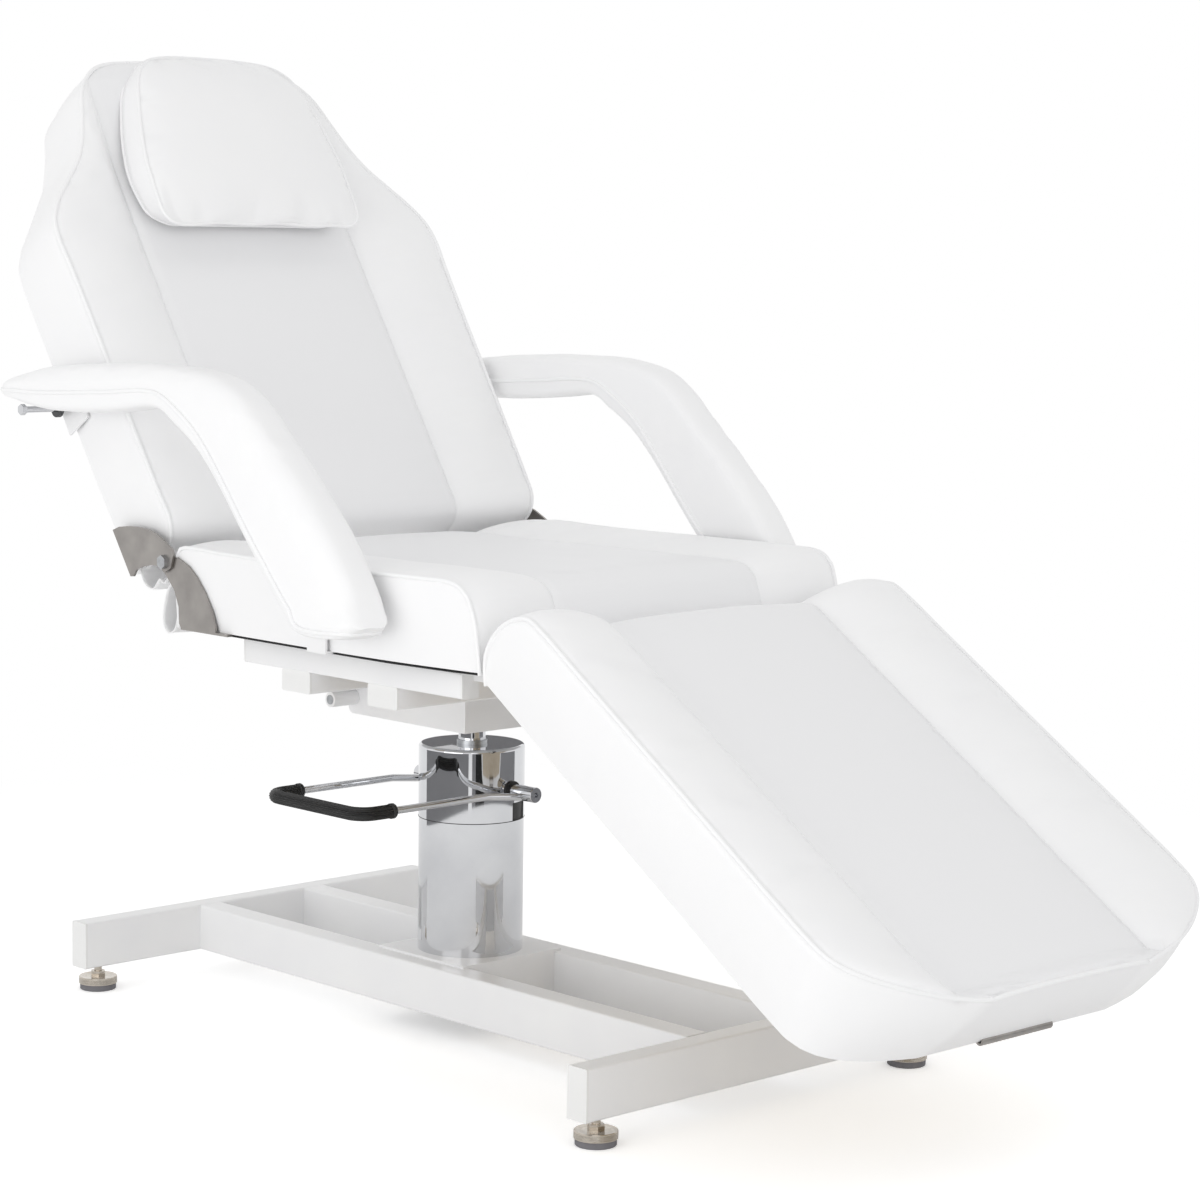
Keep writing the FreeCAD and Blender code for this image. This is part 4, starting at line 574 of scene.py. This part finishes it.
cushion("backrestCushion", {
    "rows": [(31.5, -90.2, 291, 0), (25, -74, 291, 0.1), (22.5, -40, 292, 0.3), (24, -10, 294, 0.5),
             (32, 12, 296.5, 0.8), (48, 22, 299, 1), (75, 22.8, 301, 1), (140, 22.8, 303, 1), (230, 22.8, 305, 1),
             (330, 22.8, 306.5, 1), (410, 22.8, 309, 1), (448, 22.8, 311, 1), (475, 22.8, 307, 1),
             (500, 22.8, 294, 1), (536, 22.8, 264, 1), (565, 22.8, 239, 1), (592, 22.8, 223, 1),
             (635, 22.8, 206, 1), (676, 22.8, 191, 1), (696, 22.5, 176, 1), (712, 21, 157, 0.9),
             (722, 19, 130, 0.8), (726, 17.5, 100, 0.7)],
    "seamHalf": 175, "seamDrop": 14, "centreCrown": 8, "sideCrown": 10, "grooveDepth": 1.2,
    "sole": -89.8, "wallSteps": 8, "wallBulge": 3.5, "ripple": 0.6, "pucker": 0.8, "wallRipple": 0.9,
    "turn": 1, "flatEnd": 290, "low": 31.5, "high": 722, "footShare": 0.97, "drawIn": lambda along: 0, "reach": 5,
    "still": lambda x, along: along < 60 or (along > 420 and abs(x) < 185),
    "board": backBoard, "foot": outside(backBoard),
}, backAt, "back", ["back_cushion"])


seatBoard = [(-339.5, 284.9), (-330, 286.3), (-300, 291.5), (-200, 300.8), (-60, 300.8), (60, 299.4),
             (150, 298.1), (195, 296.2)]


cushion("seatCushion", {
    "rows": [(197.6, 501, 302, 0), (198.4, 518, 302, 0.1), (199, 550, 304, 0.3), (198, 582, 305, 0.6),
             (190, 596, 305.5, 0.9), (168, 598.5, 306, 1), (110, 597.5, 307, 1), (30, 597, 308.5, 1),
             (-60, 598, 309.5, 1), (-136, 598.5, 310, 1), (-210, 599.5, 307.5, 1), (-260, 599.8, 303.5, 1),
             (-302.5, 598.4, 299, 1), (-316, 593, 297.5, 1), (-325, 585, 296.5, 0.95), (-331, 572, 295.5, 0.9),
             (-335.6, 558, 294.5, 0.8), (-340, 530, 293.5, 0.5), (-343.6, 501, 293, 0)],
    "seamHalf": 166, "seamDrop": 7, "centreCrown": 6, "sideCrown": 8, "grooveDepth": 1.0,
    "sole": 501.4, "wallSteps": 7, "wallBulge": 1.2, "ripple": 0.6, "pucker": 0.8, "wallRipple": 0.7,
    "turn": -1, "flatEnd": 0, "low": -343, "high": 197.6, "footShare": 0.985, "drawIn": lambda along: 0, "reach": 5,
    "still": lambda x, along: along > 150 or along < -300,
    "board": seatBoard, "foot": outside(seatBoard),
}, seatAt, "seat", ["seat_cushion"])


def legDraw(along):
    # the lower end of the leg rest is cut back under its front edge
    start, length, back = 540, 110, 24
    share = max(0, min(1, (along - start) / length))
    return back * share * share * (3 - 2 * share)


cushion("legRestCushion", {
    "rows": [(8.6, -12, 291, 0), (-1, 2, 292, 0.1), (-7, 15, 293, 0.2), (-9.3, 32, 294, 0.4),
             (-4.5, 57.5, 295, 0.6), (4, 73.4, 296, 0.8), (14, 86, 296, 0.9), (27.5, 95, 296.3, 1),
             (48, 97, 296.7, 1), (120, 97, 297.8, 1), (210, 97, 299.3, 1), (302, 97, 301, 1), (400, 97, 303, 1),
             (480, 97, 304.6, 1), (530, 97, 304.4, 1), (558, 97, 301, 1), (574, 97, 292, 1), (588, 97, 279, 1),
             (601, 96.8, 262, 1), (613, 96.4, 243, 1), (624, 95.5, 221, 0.95), (634, 94, 195, 0.9),
             (642, 92, 166, 0.8), (648, 90, 134, 0.7)],
    "seamHalf": 166, "seamDrop": 19, "centreCrown": 8, "sideCrown": 13, "grooveDepth": 1.2,
    "sole": -11.4, "wallSteps": 9, "wallBulge": 4, "ripple": 0.7, "pucker": 0.9, "wallRipple": 1.0,
    "turn": 1, "flatEnd": 303, "low": 9, "high": 652,
    "footShare": 0.98, "drawIn": legDraw, "reach": 6, "still": lambda x, along: along < 40,
    "board": [(9, 288.1), (300, 293), (533, 296), (560.7, 296), (592, 270)],
    "foot": [(9, 290.6), (300, 295.5), (533, 298.5), (561, 297.5), (578, 290), (590, 279), (599, 264), (607, 244),
             (614, 218), (620, 185), (625, 150)],
}, legAt, "leg", ["leg_cushion"])


# black non-woven tape, stapled over the turned-in edge of the seat's cover; it is also a painted shadow, a dark
# strip standing for the shaded gap between the cushion and the rail
gapShadeTapeLook = {"outer": -1.2, "inner": 14, "level": 499.6, "thickness": 1.5, "rear": 100, "front": -339.5,
            "sideSteps": 44, "frontSteps": 24}


def edgeTapeGapShade():
    look = gapShadeTapeLook
    sides, fronts = look["sideSteps"], look["frontSteps"]
    places = [look["rear"] - (look["rear"] - look["front"]) * i / sides for i in range(sides + 1)]
    route = [(-1, along) for along in places] + [(2 * k / fronts - 1, look["front"]) for k in range(1, fronts)]
    route += [(1, along) for along in reversed(places)]
    bm, grid = gridOf(len(route), 3)
    for (i, j), vert in grid.items():
        share, along = route[i]
        inset = look["outer"] + (look["inner"] - look["outer"]) * j / 2
        along = max(along, look["front"] + inset)
        vert.co = seatAt(share * (between(seatBoard, along) - inset), along, look["level"])
    piece = newPiece("edgeTapeGapShade", meshFrom(bm, "edgeTapeGapShade"), blackRubber, "seat", 80)
    thick = piece.modifiers.new("thickness", "SOLIDIFY")
    thick.thickness = look["thickness"] * mm
    thick.offset = 1


edgeTapeGapShade()


# arm pads: top and underside points (y, z) and the piping's depth share at each station from the lower end
armStations = [((-231, 545), (-206, 530), 0.5), ((-222, 563), (-170, 528), 0.75), ((-213, 581), (-138, 530), 0.86),
               ((-174, 636), (-112, 549), 0.88), ((-109, 702), (-74, 590), 0.89), ((-49, 755), (-34, 634), 0.88),
               ((-16, 783), (11, 685), 0.86), ((21, 805), (53, 724), 0.8), ((75, 816.5), (99, 752), 0.7),
               ((139, 820.3), (137, 770), 0.6), ((227, 819.5), (228, 762), 0.58), ((318, 814.6), (318, 757), 0.58),
               ((388, 807.9), (388, 759), 0.6), ((430, 800), (430, 766), 0.62), ((460, 791.4), (460, 770), 0.62),
               ((480, 784.5), (480, 774.5), 0.6)]
# the rounding of either end has its length, how blunt it starts and two powers
armLook = {"inner": 319.6, "outer": 384.6, "spacing": 8, "upperSteps": 28, "lowerSteps": 14, "square": 3.0,
           "edge": 15, "flatShare": 0.2, "edgeShare": 0.8, "underPower": 0.4, "lowEnd": (20, 2.5, 3, 0.4),
           "rearEnd": (46, 2, 2.2, 0.45), "ripple": 34, "rippleHeight": 0.8, "innerCrease": 0.4, "outerCrease": 1.6,
           "bead": 2.5, "slot": ((-120, 582), (425, 755)), "slotBack": 28.5, "slotFront": 38.7, "slotRadius": 6.6,
           "slotFloor": 326.1, "overrun": 3}


def slotCutter(side):
    look = armLook
    (pinY, pinZ), (boltY, boltZ) = look["slot"]
    line = Vector((0, boltY - pinY, boltZ - pinZ)).normalized()
    bm = bmesh.new()
    bmesh.ops.create_circle(bm, cap_ends=True, radius=look["slotRadius"] * mm, segments=32,
                            matrix=Matrix.Rotation(math.radians(90), 4, "Y"))
    for vert in bm.verts:
        vert.co += line * (look["slotFront"] if vert.co.dot(line) > 0 else -look["slotBack"]) * mm
        vert.co += place(side * (look["inner"] - look["overrun"]), pinY, pinZ)
    made = bmesh.ops.extrude_face_region(bm, geom=list(bm.faces))
    for item in made["geom"]:
        if isinstance(item, bmesh.types.BMVert):
            item.co.x += side * (look["slotFloor"] - look["inner"] + look["overrun"]) * mm
    return bpy.data.objects.new("slotCutter", meshFrom(bm, "slotCutter"))


def armSection(j, high, depth):
    # one point of the pad's section: -1 to 1 across from the inner side, and its share of the depth
    look = armLook
    upper, flat, power, under = look["upperSteps"], look["flatShare"], 2 / look["square"], look["underPower"]
    edge = min(look["edge"] / high, depth * look["edgeShare"])
    if j < upper * flat:
        # the inner side stays flat over the steel, up to the rounded top edge
        return -1, depth - (depth - edge) * j / (upper * flat)
    if j <= upper / 2:
        turn = math.pi / 2 * (j / upper - flat) / (0.5 - flat)
        return -max(0, math.cos(turn)) ** power, edge * (1 - math.sin(turn) ** power)
    if j <= upper:
        turn = math.pi * j / upper
        return max(0, -math.cos(turn)) ** power, depth * (1 - max(0, math.sin(turn)) ** power)
    turn = math.pi * (j - upper) / look["lowerSteps"]
    across = math.copysign(abs(math.cos(turn)) ** under, math.cos(turn))
    return across, depth + (1 - depth) * max(0, math.sin(turn)) ** under


def armWidths(run):
    widths = []
    for far in run:
        width = (armLook["outer"] - armLook["inner"]) / 2
        for gap, end in ((far, armLook["lowEnd"]), (run[-1] - far, armLook["rearEnd"])):
            length, blunt, outer, inner = end
            width *= (1 - (1 - min(1, (gap + blunt) / length)) ** outer) ** inner
        widths.append(width)
    return widths


def armPad(side):
    word = "left" if side < 0 else "right"
    look = armLook
    keys = [(top[0], top[1], 0.0, under[0], under[1], depth) for top, under, depth in armStations]
    rows = smoothRows(keys, look["spacing"])
    upper = look["upperSteps"]
    around = upper + look["lowerSteps"]
    run = [0]
    for before, after in zip(rows, rows[1:]):
        run.append(run[-1] + math.dist(before[:2], after[:2]))
    widths = armWidths(run)
    centre = (look["inner"] + look["outer"]) / 2
    creases = {0: look["innerCrease"], upper: look["outerCrease"]}
    bm, grid, sewn = gridOf(len(rows), around + 1, "sewn")
    for (i, j), vert in grid.items():
        topY, topZ, _, underY, underZ, depth = rows[i]
        j %= around
        across, down = armSection(j, math.dist((topY, topZ), (underY, underZ)), depth)
        ripple = noise.noise(Vector((topY / look["ripple"], topZ / look["ripple"], across * 1.5 + side)))
        ripple *= look["rippleHeight"] * (abs(across) < 0.9)
        crease = creases.get(j, 0) * (1 < i < len(rows) - 2)
        vert.co = place(side * (centre + (widths[i] - crease) * across), topY + (underY - topY) * down,
                        topZ + (underZ - topZ) * down + ripple)
        vert[sewn] = 0 if 3 < j < upper - 3 and 2 < i < len(rows) - 3 else 1
    bmesh.ops.remove_doubles(bm, verts=bm.verts, dist=weld)
    bmesh.ops.holes_fill(bm, edges=[edge for edge in bm.edges if edge.is_boundary], sides=0)
    piece = newPiece("armPad_" + word, meshFrom(bm, "armPad_" + word), vinyl, "arm_" + word, 60)
    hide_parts("arm_pad_" + word)
    swell(piece, 2.0, 1.5, 0.006)
    cutter = slotCutter(side)
    scene.collection.objects.link(cutter)
    cut = piece.modifiers.new("slot", "BOOLEAN")
    cut.object = cutter
    cut.solver = "EXACT"
    shaped = piece.evaluated_get(bpy.context.evaluated_depsgraph_get())
    solid = bpy.data.meshes.new_from_object(shaped)
    piece.modifiers.remove(cut)
    piece.data = solid
    bpy.data.objects.remove(cutter)
    sides = {}
    for sense in (1, -1):
        sides[sense] = [place(side * (centre + sense * widths[i]), row[0] + (row[3] - row[0]) * row[5],
                              row[1] + (row[4] - row[1]) * row[5]) for i, row in enumerate(rows)]
    tube("armPiping_" + word, sides[1] + sides[-1][::-1], look["bead"], vinyl, "arm_" + word,
         closed=True)


for side in (-1, 1):
    armPad(side)
print("arm pads done")


# head pillow: a front panel and a rear panel with a gusset between; each row gives place and half width
# of the front welt, place and half width of the rear rim, and the welt's level
pillowRows = [(449, 136, 470, 118, 58), (451.5, 147, 471, 128, 59), (457, 155, 475, 138, 60),
              (467, 159.5, 481, 149, 60), (485, 161, 490, 157, 60), (510, 161, 510, 163, 60),
              (545, 160, 541, 167, 60), (600, 151, 584, 162, 60),
              (640, 141, 627, 151, 60), (670, 131, 672, 135, 59), (690, 119, 702, 114, 57), (704, 101, 719, 94, 54),
              (712, 79, 730, 71, 50), (717, 45, 735, 41, 47), (718, 16, 736, 14, 47)]
pillowLook = {"crown": 20, "acrossPowers": (2.4, 0.75), "alongPowers": (2.8, 0.7), "rear": 24, "sole": 17.1,
              "dimple": 1.6, "weltLift": 3, "weltWave": 1.2, "bulge": 4, "bulgeFrom": 330, "bulgeOver": 60,
              "columns": 48, "spacing": 7, "gussetSteps": 4, "bead": 2.4, "rearBead": 1.92, "askew": 0.06,
              "middle": 585}


def pillowAt(x, along, level):
    # the pillow lies a little askew, as in the photograph
    return backAt(x + (along - pillowLook["middle"]) * pillowLook["askew"], along, level)


def headPillow():
    look = pillowLook
    rows = smoothRows(pillowRows, look["spacing"])
    count, columns = len(rows), look["columns"]
    bm, grid, sewn = gridOf(count, columns, "sewn")
    first, last = rows[0][0], rows[-1][0]
    rim = rimOf(count, columns)
    lines = {"welt": [], "rear": []}
    (acrossPower, acrossRound), (alongPower, alongRound) = look["acrossPowers"], look["alongPowers"]
    for (i, j), vert in grid.items():
        along, half, _, _, level = rows[i]
        share = 2 * j / (columns - 1) - 1
        far = 2 * (along - first) / (last - first) - 1
        crown = look["crown"] * max(0, 1 - abs(share) ** acrossPower) ** acrossRound
        crown *= max(0, 1 - abs(far) ** alongPower) ** alongRound
        dimple = noise.noise(Vector((share * 2.2, along / 60, 3.1))) * look["dimple"] * (1 - share ** 4)
        vert.co = pillowAt(half * share, along, level + crown + dimple * (0 < i < count - 1))
    for i, j in rim:
        grid[i, j][sewn] = 1
        along, half, rearAlong, rearHalf, level = rows[i]
        share = 2 * j / (columns - 1) - 1
        # the lower welt is a little wavy, lifted at its middle
        lift = 0
        if i == 0:
            lift = look["weltLift"] * math.cos(share * math.pi / 2) + look["weltWave"] * math.sin(share * 9)
        grid[i, j].co = pillowAt(half * share, along + lift, level)
        lines["welt"].append(grid[i, j].co.copy())
        lines["rear"].append(pillowAt(rearHalf * share, rearAlong, look["rear"]))
    ring = [grid[key] for key in rim]
    centre = sum(lines["rear"], Vector()) / len(rim)
    corner = lines["welt"][0]
    for step in range(1, look["gussetSteps"] + 1):
        share = step / look["gussetSteps"]
        spots = []
        for front, back in zip(lines["welt"], lines["rear"]):
            out = (front - centre).normalized()
            far = ((front - corner).length / mm - look["bulgeFrom"]) / look["bulgeOver"]
            full = look["bulge"] * min(1, max(0, far))
            spots.append(front.lerp(back, share) + out * full * math.sin(math.pi * share) * mm)
        ring = nextRing(bm, ring, spots, sewn)
    down = pillowAt(0, 0, look["sole"]) - pillowAt(0, 0, look["rear"])
    for shrink, drop in ((0.94, 0.8), (0.8, 1.0)):
        ring = nextRing(bm, ring, [centre.lerp(spot, shrink) + down * drop for spot in lines["rear"]], sewn)
    bmesh.ops.holes_fill(bm, edges=ringEdges(bm, ring), sides=0)
    piece = newPiece("headPillow", meshFrom(bm, "headPillow"), vinyl, "head_pillow", 80)
    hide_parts("pillow")
    swell(piece, 4.0, 7, 0.02)
    tube("pillowWelt", lines["welt"], look["bead"], vinyl, "head_pillow", closed=True)
    tube("pillowRearWelt", lines["rear"], look["rearBead"], vinyl, "head_pillow", closed=True)


headPillow()
print("pillow done")


# loose vinyl behind the seat: a gathered ruffle under the back and a hanging loop on the seat
flapPaths = {
    "ruffle": {"path": [(270, 572), (279, 563), (276, 553), (268, 545), (258, 541), (248, 548), (240, 556),
                        (232, 550), (226, 555), (219, 563)], "body": "back", "held": "gathered", "crease": 3.2},
    "loop": {"path": [(206, 560), (203, 545), (203, 525), (204, 507), (210, 494), (221, 490), (231, 499),
                      (231, 518), (224, 540), (213, 556)], "body": "seat", "held": "hung", "crease": 1.6},
}
flapLook = {"inner": 150, "outer": 301, "thickness": 1.4, "columns": 40, "spacing": 3,
            "foldGrain": (20, 30), "sagGrain": (34, 22), "sagSeed": 7.3}


def rearCloth(kind, side):
    look, spec = flapLook, flapPaths[kind]
    rows = smoothRows([(y, z, 0.0) for y, z in spec["path"]], look["spacing"])
    length = sum(math.dist(a, b) for a, b in zip(rows, rows[1:]))
    (foldX, foldY), (sagX, sagY) = look["foldGrain"], look["sagGrain"]
    bm, grid = gridOf(len(rows), look["columns"])
    for (i, j), vert in grid.items():
        y, z, _ = rows[i]
        x = look["inner"] + (look["outer"] - look["inner"]) * j / (look["columns"] - 1)
        loose = math.sin(math.pi * i / (len(rows) - 1))
        fold = noise.noise(Vector((x / foldX + side * 3, y / foldY, z / foldY))) * spec["crease"] * loose
        sag = noise.noise(Vector((x / sagX, y / sagY, look["sagSeed"] + side))) * spec["crease"] * loose
        vert.co = place(side * (x + min(0, fold)), y + fold, z + sag)
    piece = newPiece(kind + ("Left" if side < 0 else "Right"), meshFrom(bm, kind), vinyl, spec["body"],
                     80)
    thick = piece.modifiers.new("thickness", "SOLIDIFY")
    thick.thickness = look["thickness"] * mm
    thick.offset = 0
    return piece


for side in (-1, 1):
    rearCloth("ruffle", side)
    loop = rearCloth("loop", side)
    if side < 0:
        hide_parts("rear_flaps")
print("rear cloth done")


# pedal grip: a rubber sleeve with lengthwise ribs, and a collar at each end
gripLook = {"reach": 250, "arm": 88, "level": 302, "bend": 22, "bore": 4.6, "radius": 7.8, "rib": 0.5, "ribs": 18,
            "collar": 5, "collarRadius": 9.2, "around": 72}


def pedalGrip():
    look = gripLook
    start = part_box("pedal_grip")[1].x / mm
    turnAt = look["reach"] - look["bend"]
    half = [(start, look["arm"], look["collarRadius"] - 0.6), (start - 1, look["arm"], look["collarRadius"]),
            (start - look["collar"], look["arm"], look["collarRadius"]),
            (start - look["collar"] - 1, look["arm"], look["radius"])]
    for step in range(9):
        angle = math.pi / 2 * step / 8
        half.append((-turnAt - look["bend"] * math.sin(angle),
                     look["arm"] - look["bend"] * (1 - math.cos(angle)), look["radius"]))
    route = half + [(x, -y, radius) for x, y, radius in reversed(half)]
    rows = []
    for k, (x, y, radius) in enumerate(route):
        before, after = route[max(k - 1, 0)], route[min(k + 1, len(route) - 1)]
        way = Vector((after[0] - before[0], after[1] - before[1], 0)).normalized()
        rows.append((x, y, Vector((way.y, -way.x, 0)), radius))
    rows += [(x, y, out, look["bore"]) for x, y, out, radius in reversed(rows)]
    rows.append(rows[0])
    bm, grid = gridOf(len(rows), look["around"] + 1)
    for (i, j), vert in grid.items():
        x, y, out, radius = rows[i]
        turn = 2 * math.pi * (j % look["around"]) / look["around"]
        if radius == look["radius"]:
            radius += look["rib"] * math.cos(look["ribs"] * turn)
        spot = out * math.cos(turn) * radius + Vector((0, 0, math.sin(turn) * radius))
        vert.co = place(x + spot.x, y + spot.y, look["level"] + spot.z)
    bmesh.ops.remove_doubles(bm, verts=bm.verts, dist=weld)
    piece = newPiece("pedalGripSleeve", meshFrom(bm, "pedalGripSleeve"), blackRubber, "pedal", 40)
    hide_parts("pedal_grip")


pedalGrip()

# the rubber lip in the seam between the pump's two covers
lipLook = {"radius": 65.9, "level": 261.2, "bead": 0.55, "points": 96}
turns = [2 * math.pi * k / lipLook["points"] for k in range(lipLook["points"])]
tube("coverLip", [place(lipLook["radius"] * math.cos(turn), lipLook["radius"] * math.sin(turn), lipLook["level"])
                  for turn in turns], lipLook["bead"], blackRubber, "base", closed=True)

# a small domed nut on each seat bracket, beside the back's pivot bolt
nutLook = {"y": 211.1, "z": 569.9, "radius": 3.4, "tip": 2.4, "height": 2.6}
for side in (-1, 1):
    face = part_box("seat_bracket_" + ("left" if side < 0 else "right"))[0 if side < 0 else 1].x / mm
    bm = bmesh.new()
    spot = place(face + side * nutLook["height"] / 2, nutLook["y"], nutLook["z"])
    bmesh.ops.create_cone(bm, cap_ends=True, segments=24, radius1=nutLook["radius"] * mm,
                          radius2=nutLook["tip"] * mm, depth=nutLook["height"] * mm,
                          matrix=Matrix.Translation(spot) @ Matrix.Rotation(side * math.radians(90), 4, "Y"))
    newPiece("bracketNut", meshFrom(bm, "bracketNut"), zinc, "seat", 30)
print("grip and nuts done")


# camera, floor and light

# how far the floor is lit like a floor, in metres, and how much light it adds to that
floorLook = {"glow": 0.35, "near": 0.9, "far": 2.0, "size": 30}


def stageMaterial():
    # a white sweep: lit by the lamps near the chair, plain white further out
    material = bpy.data.materials.new("studioFloor")
    material.use_nodes = True
    tree = material.node_tree
    shader = tree.nodes["Principled BSDF"]
    shader.inputs["Base Color"].default_value = hexColour("#FFFFFF")
    shader.inputs["Roughness"].default_value = 0.9
    shader.inputs["Specular IOR Level"].default_value = 0.0
    shader.inputs["Emission Color"].default_value = (1, 1, 1, 1)
    path = addNode(tree, "ShaderNodeLightPath")
    seen = addNode(tree, "ShaderNodeMath", operation="MAXIMUM",
                   links={0: path.outputs["Is Camera Ray"], 1: path.outputs["Is Glossy Ray"]})
    glow = addNode(tree, "ShaderNodeMath", {1: floorLook["glow"]}, {0: path.outputs["Is Camera Ray"]},
                   operation="MULTIPLY")
    tree.links.new(glow.outputs["Value"], shader.inputs["Emission Strength"])
    coords = addNode(tree, "ShaderNodeTexCoord")
    far = addNode(tree, "ShaderNodeVectorMath", links={0: coords.outputs["Object"]}, operation="LENGTH")
    fade = addNode(tree, "ShaderNodeMapRange", {"From Min": floorLook["near"], "From Max": floorLook["far"]},
                   {"Value": far.outputs["Value"]}, interpolation_type="SMOOTHSTEP")
    share = addNode(tree, "ShaderNodeMath", links={0: fade.outputs["Result"], 1: seen.outputs["Value"]},
                    operation="MULTIPLY")
    white = addNode(tree, "ShaderNodeEmission")
    mixed = addNode(tree, "ShaderNodeMixShader", links={0: share.outputs["Value"], 1: shader.outputs["BSDF"],
                                                        2: white.outputs["Emission"]})
    tree.links.new(mixed.outputs["Shader"], tree.nodes["Material Output"].inputs["Surface"])
    return material


bm = bmesh.new()
bmesh.ops.create_grid(bm, x_segments=1, y_segments=1, size=floorLook["size"])
floor = bpy.data.objects.new("floor", meshFrom(bm, "floor"))
floor.data.materials.append(stageMaterial())
scene.collection.objects.link(floor)

world = bpy.data.worlds.new("studio")
scene.world = world
world.use_nodes = True
tree = world.node_tree
background = tree.nodes["Background"]
path = addNode(tree, "ShaderNodeLightPath")
seen = addNode(tree, "ShaderNodeMath", operation="MAXIMUM",
               links={0: path.outputs["Is Camera Ray"], 1: path.outputs["Is Transmission Ray"]})
mirrored = addNode(tree, "ShaderNodeMath", operation="MAXIMUM",
                   links={0: seen.outputs["Value"], 1: path.outputs["Is Glossy Ray"]})
# the room gives a plain soft light, and is white where it is seen or mirrored
strength = addNode(tree, "ShaderNodeMapRange", {"To Min": 0.79, "To Max": 1.0},
                   {"Value": mirrored.outputs["Value"]})
background.inputs["Color"].default_value = (1, 1, 1, 1)
tree.links.new(strength.outputs["Result"], background.inputs["Strength"])


def softLamp(name, spot, aim, size, energy):
    lamp = bpy.data.lights.new(name, "AREA")
    lamp.shape = "RECTANGLE"
    lamp.size, lamp.size_y = size
    lamp.energy = energy
    holder = bpy.data.objects.new(name, lamp)
    holder.location = spot
    holder.rotation_euler = (Vector(aim) - Vector(spot)).to_track_quat("-Z", "Y").to_euler()
    scene.collection.objects.link(holder)


softLamp("topSoftbox", (-0.6, -0.3, 4.2), (0, 0, 0.5), (3.5, 3.5), 2)
softLamp("sideSoftbox", (-3.8, -0.4, 0.85), (0, 0, 0.6), (3.0, 1.5), 24)
softLamp("frontSoftbox", (-2.0, -3.6, 1.5), (0, 0, 0.6), (2.2, 2.2), 12)

# where the photograph was taken from, in millimetres, degrees and its pixels
cameraLook = {"x": -2555.67, "y": -2897.67, "z": 977.23, "azimuth": 43.9014, "down": 6.6483, "roll": 0.8668,
              "focal": 3141.55, "rightPixels": 9.12, "lowPixels": 4.76, "imagePixels": 1200, "sensor": 36}
azimuth = math.radians(cameraLook["azimuth"])

# grey walls round the set, which only glossy rays see: a low one on the camera's side with a gap and a darker
# part, and a raised one on the far side; turns in degrees from the camera's side, the rest in metres
wallLook = {"distance": 1.42, "segments": 90}
walls = {"greyWall": {"colour": "#8E8E90", "low": 0.015, "high": 0.2, "turns": [(-112, -8), (-1, 8), (28, 112)]},
         "darkWall": {"colour": "#1E1E1E", "low": 0.015, "high": 0.2, "turns": [(8, 28)]},
         "farWall": {"colour": "#7C7C7E", "low": 0.4, "high": 0.62, "turns": [(-180, -170), (170, 180)]}}
for name, spec in walls.items():
    bm = bmesh.new()
    bmesh.ops.create_cone(bm, cap_ends=False, segments=wallLook["segments"], radius1=wallLook["distance"],
                          radius2=wallLook["distance"], depth=spec["high"] - spec["low"],
                          matrix=Matrix.Translation((0, 0, (spec["low"] + spec["high"]) / 2)))
    gone = []
    for face in bm.faces:
        middle = face.calc_center_median()
        turn = math.degrees(math.atan2(middle.y, middle.x) - math.atan2(-math.cos(azimuth), -math.sin(azimuth)))
        turn = (turn + 180) % 360 - 180
        if not any(low < turn < high for low, high in spec["turns"]):
            gone.append(face)
    bmesh.ops.delete(bm, geom=gone, context="FACES")
    wall = bpy.data.objects.new(name, meshFrom(bm, name))
    wall.data.materials.append(moulded(name, spec["colour"], 0.9, 4.0, 0.01))
    wall.visible_camera = False
    wall.visible_diffuse = False
    wall.visible_shadow = False
    scene.collection.objects.link(wall)

# the camera stands where the photograph was taken from
down = math.radians(cameraLook["down"])
roll = math.radians(cameraLook["roll"])
forward = Vector((math.sin(azimuth) * math.cos(down), math.cos(azimuth) * math.cos(down), -math.sin(down)))
flatRight = Vector((math.cos(azimuth), -math.sin(azimuth), 0))
flatUp = flatRight.cross(forward)
right = flatRight * math.cos(roll) + flatUp * math.sin(roll)
upward = flatUp * math.cos(roll) - flatRight * math.sin(roll)
camera = bpy.data.objects.new("camera", bpy.data.cameras.new("camera"))
camera.matrix_world = Matrix((
    (right.x, upward.x, -forward.x, 0), (right.y, upward.y, -forward.y, 0),
    (right.z, upward.z, -forward.z, 0), (0, 0, 0, 1)))
camera.location = place(cameraLook["x"], cameraLook["y"], cameraLook["z"])
camera.data.sensor_width = cameraLook["sensor"]
camera.data.lens = cameraLook["focal"] / cameraLook["imagePixels"] * cameraLook["sensor"]
camera.data.shift_x = -cameraLook["rightPixels"] / cameraLook["imagePixels"]
camera.data.shift_y = cameraLook["lowPixels"] / cameraLook["imagePixels"]
scene.collection.objects.link(camera)
scene.camera = camera
scene.view_settings.view_transform = "Standard"
print("scene done")
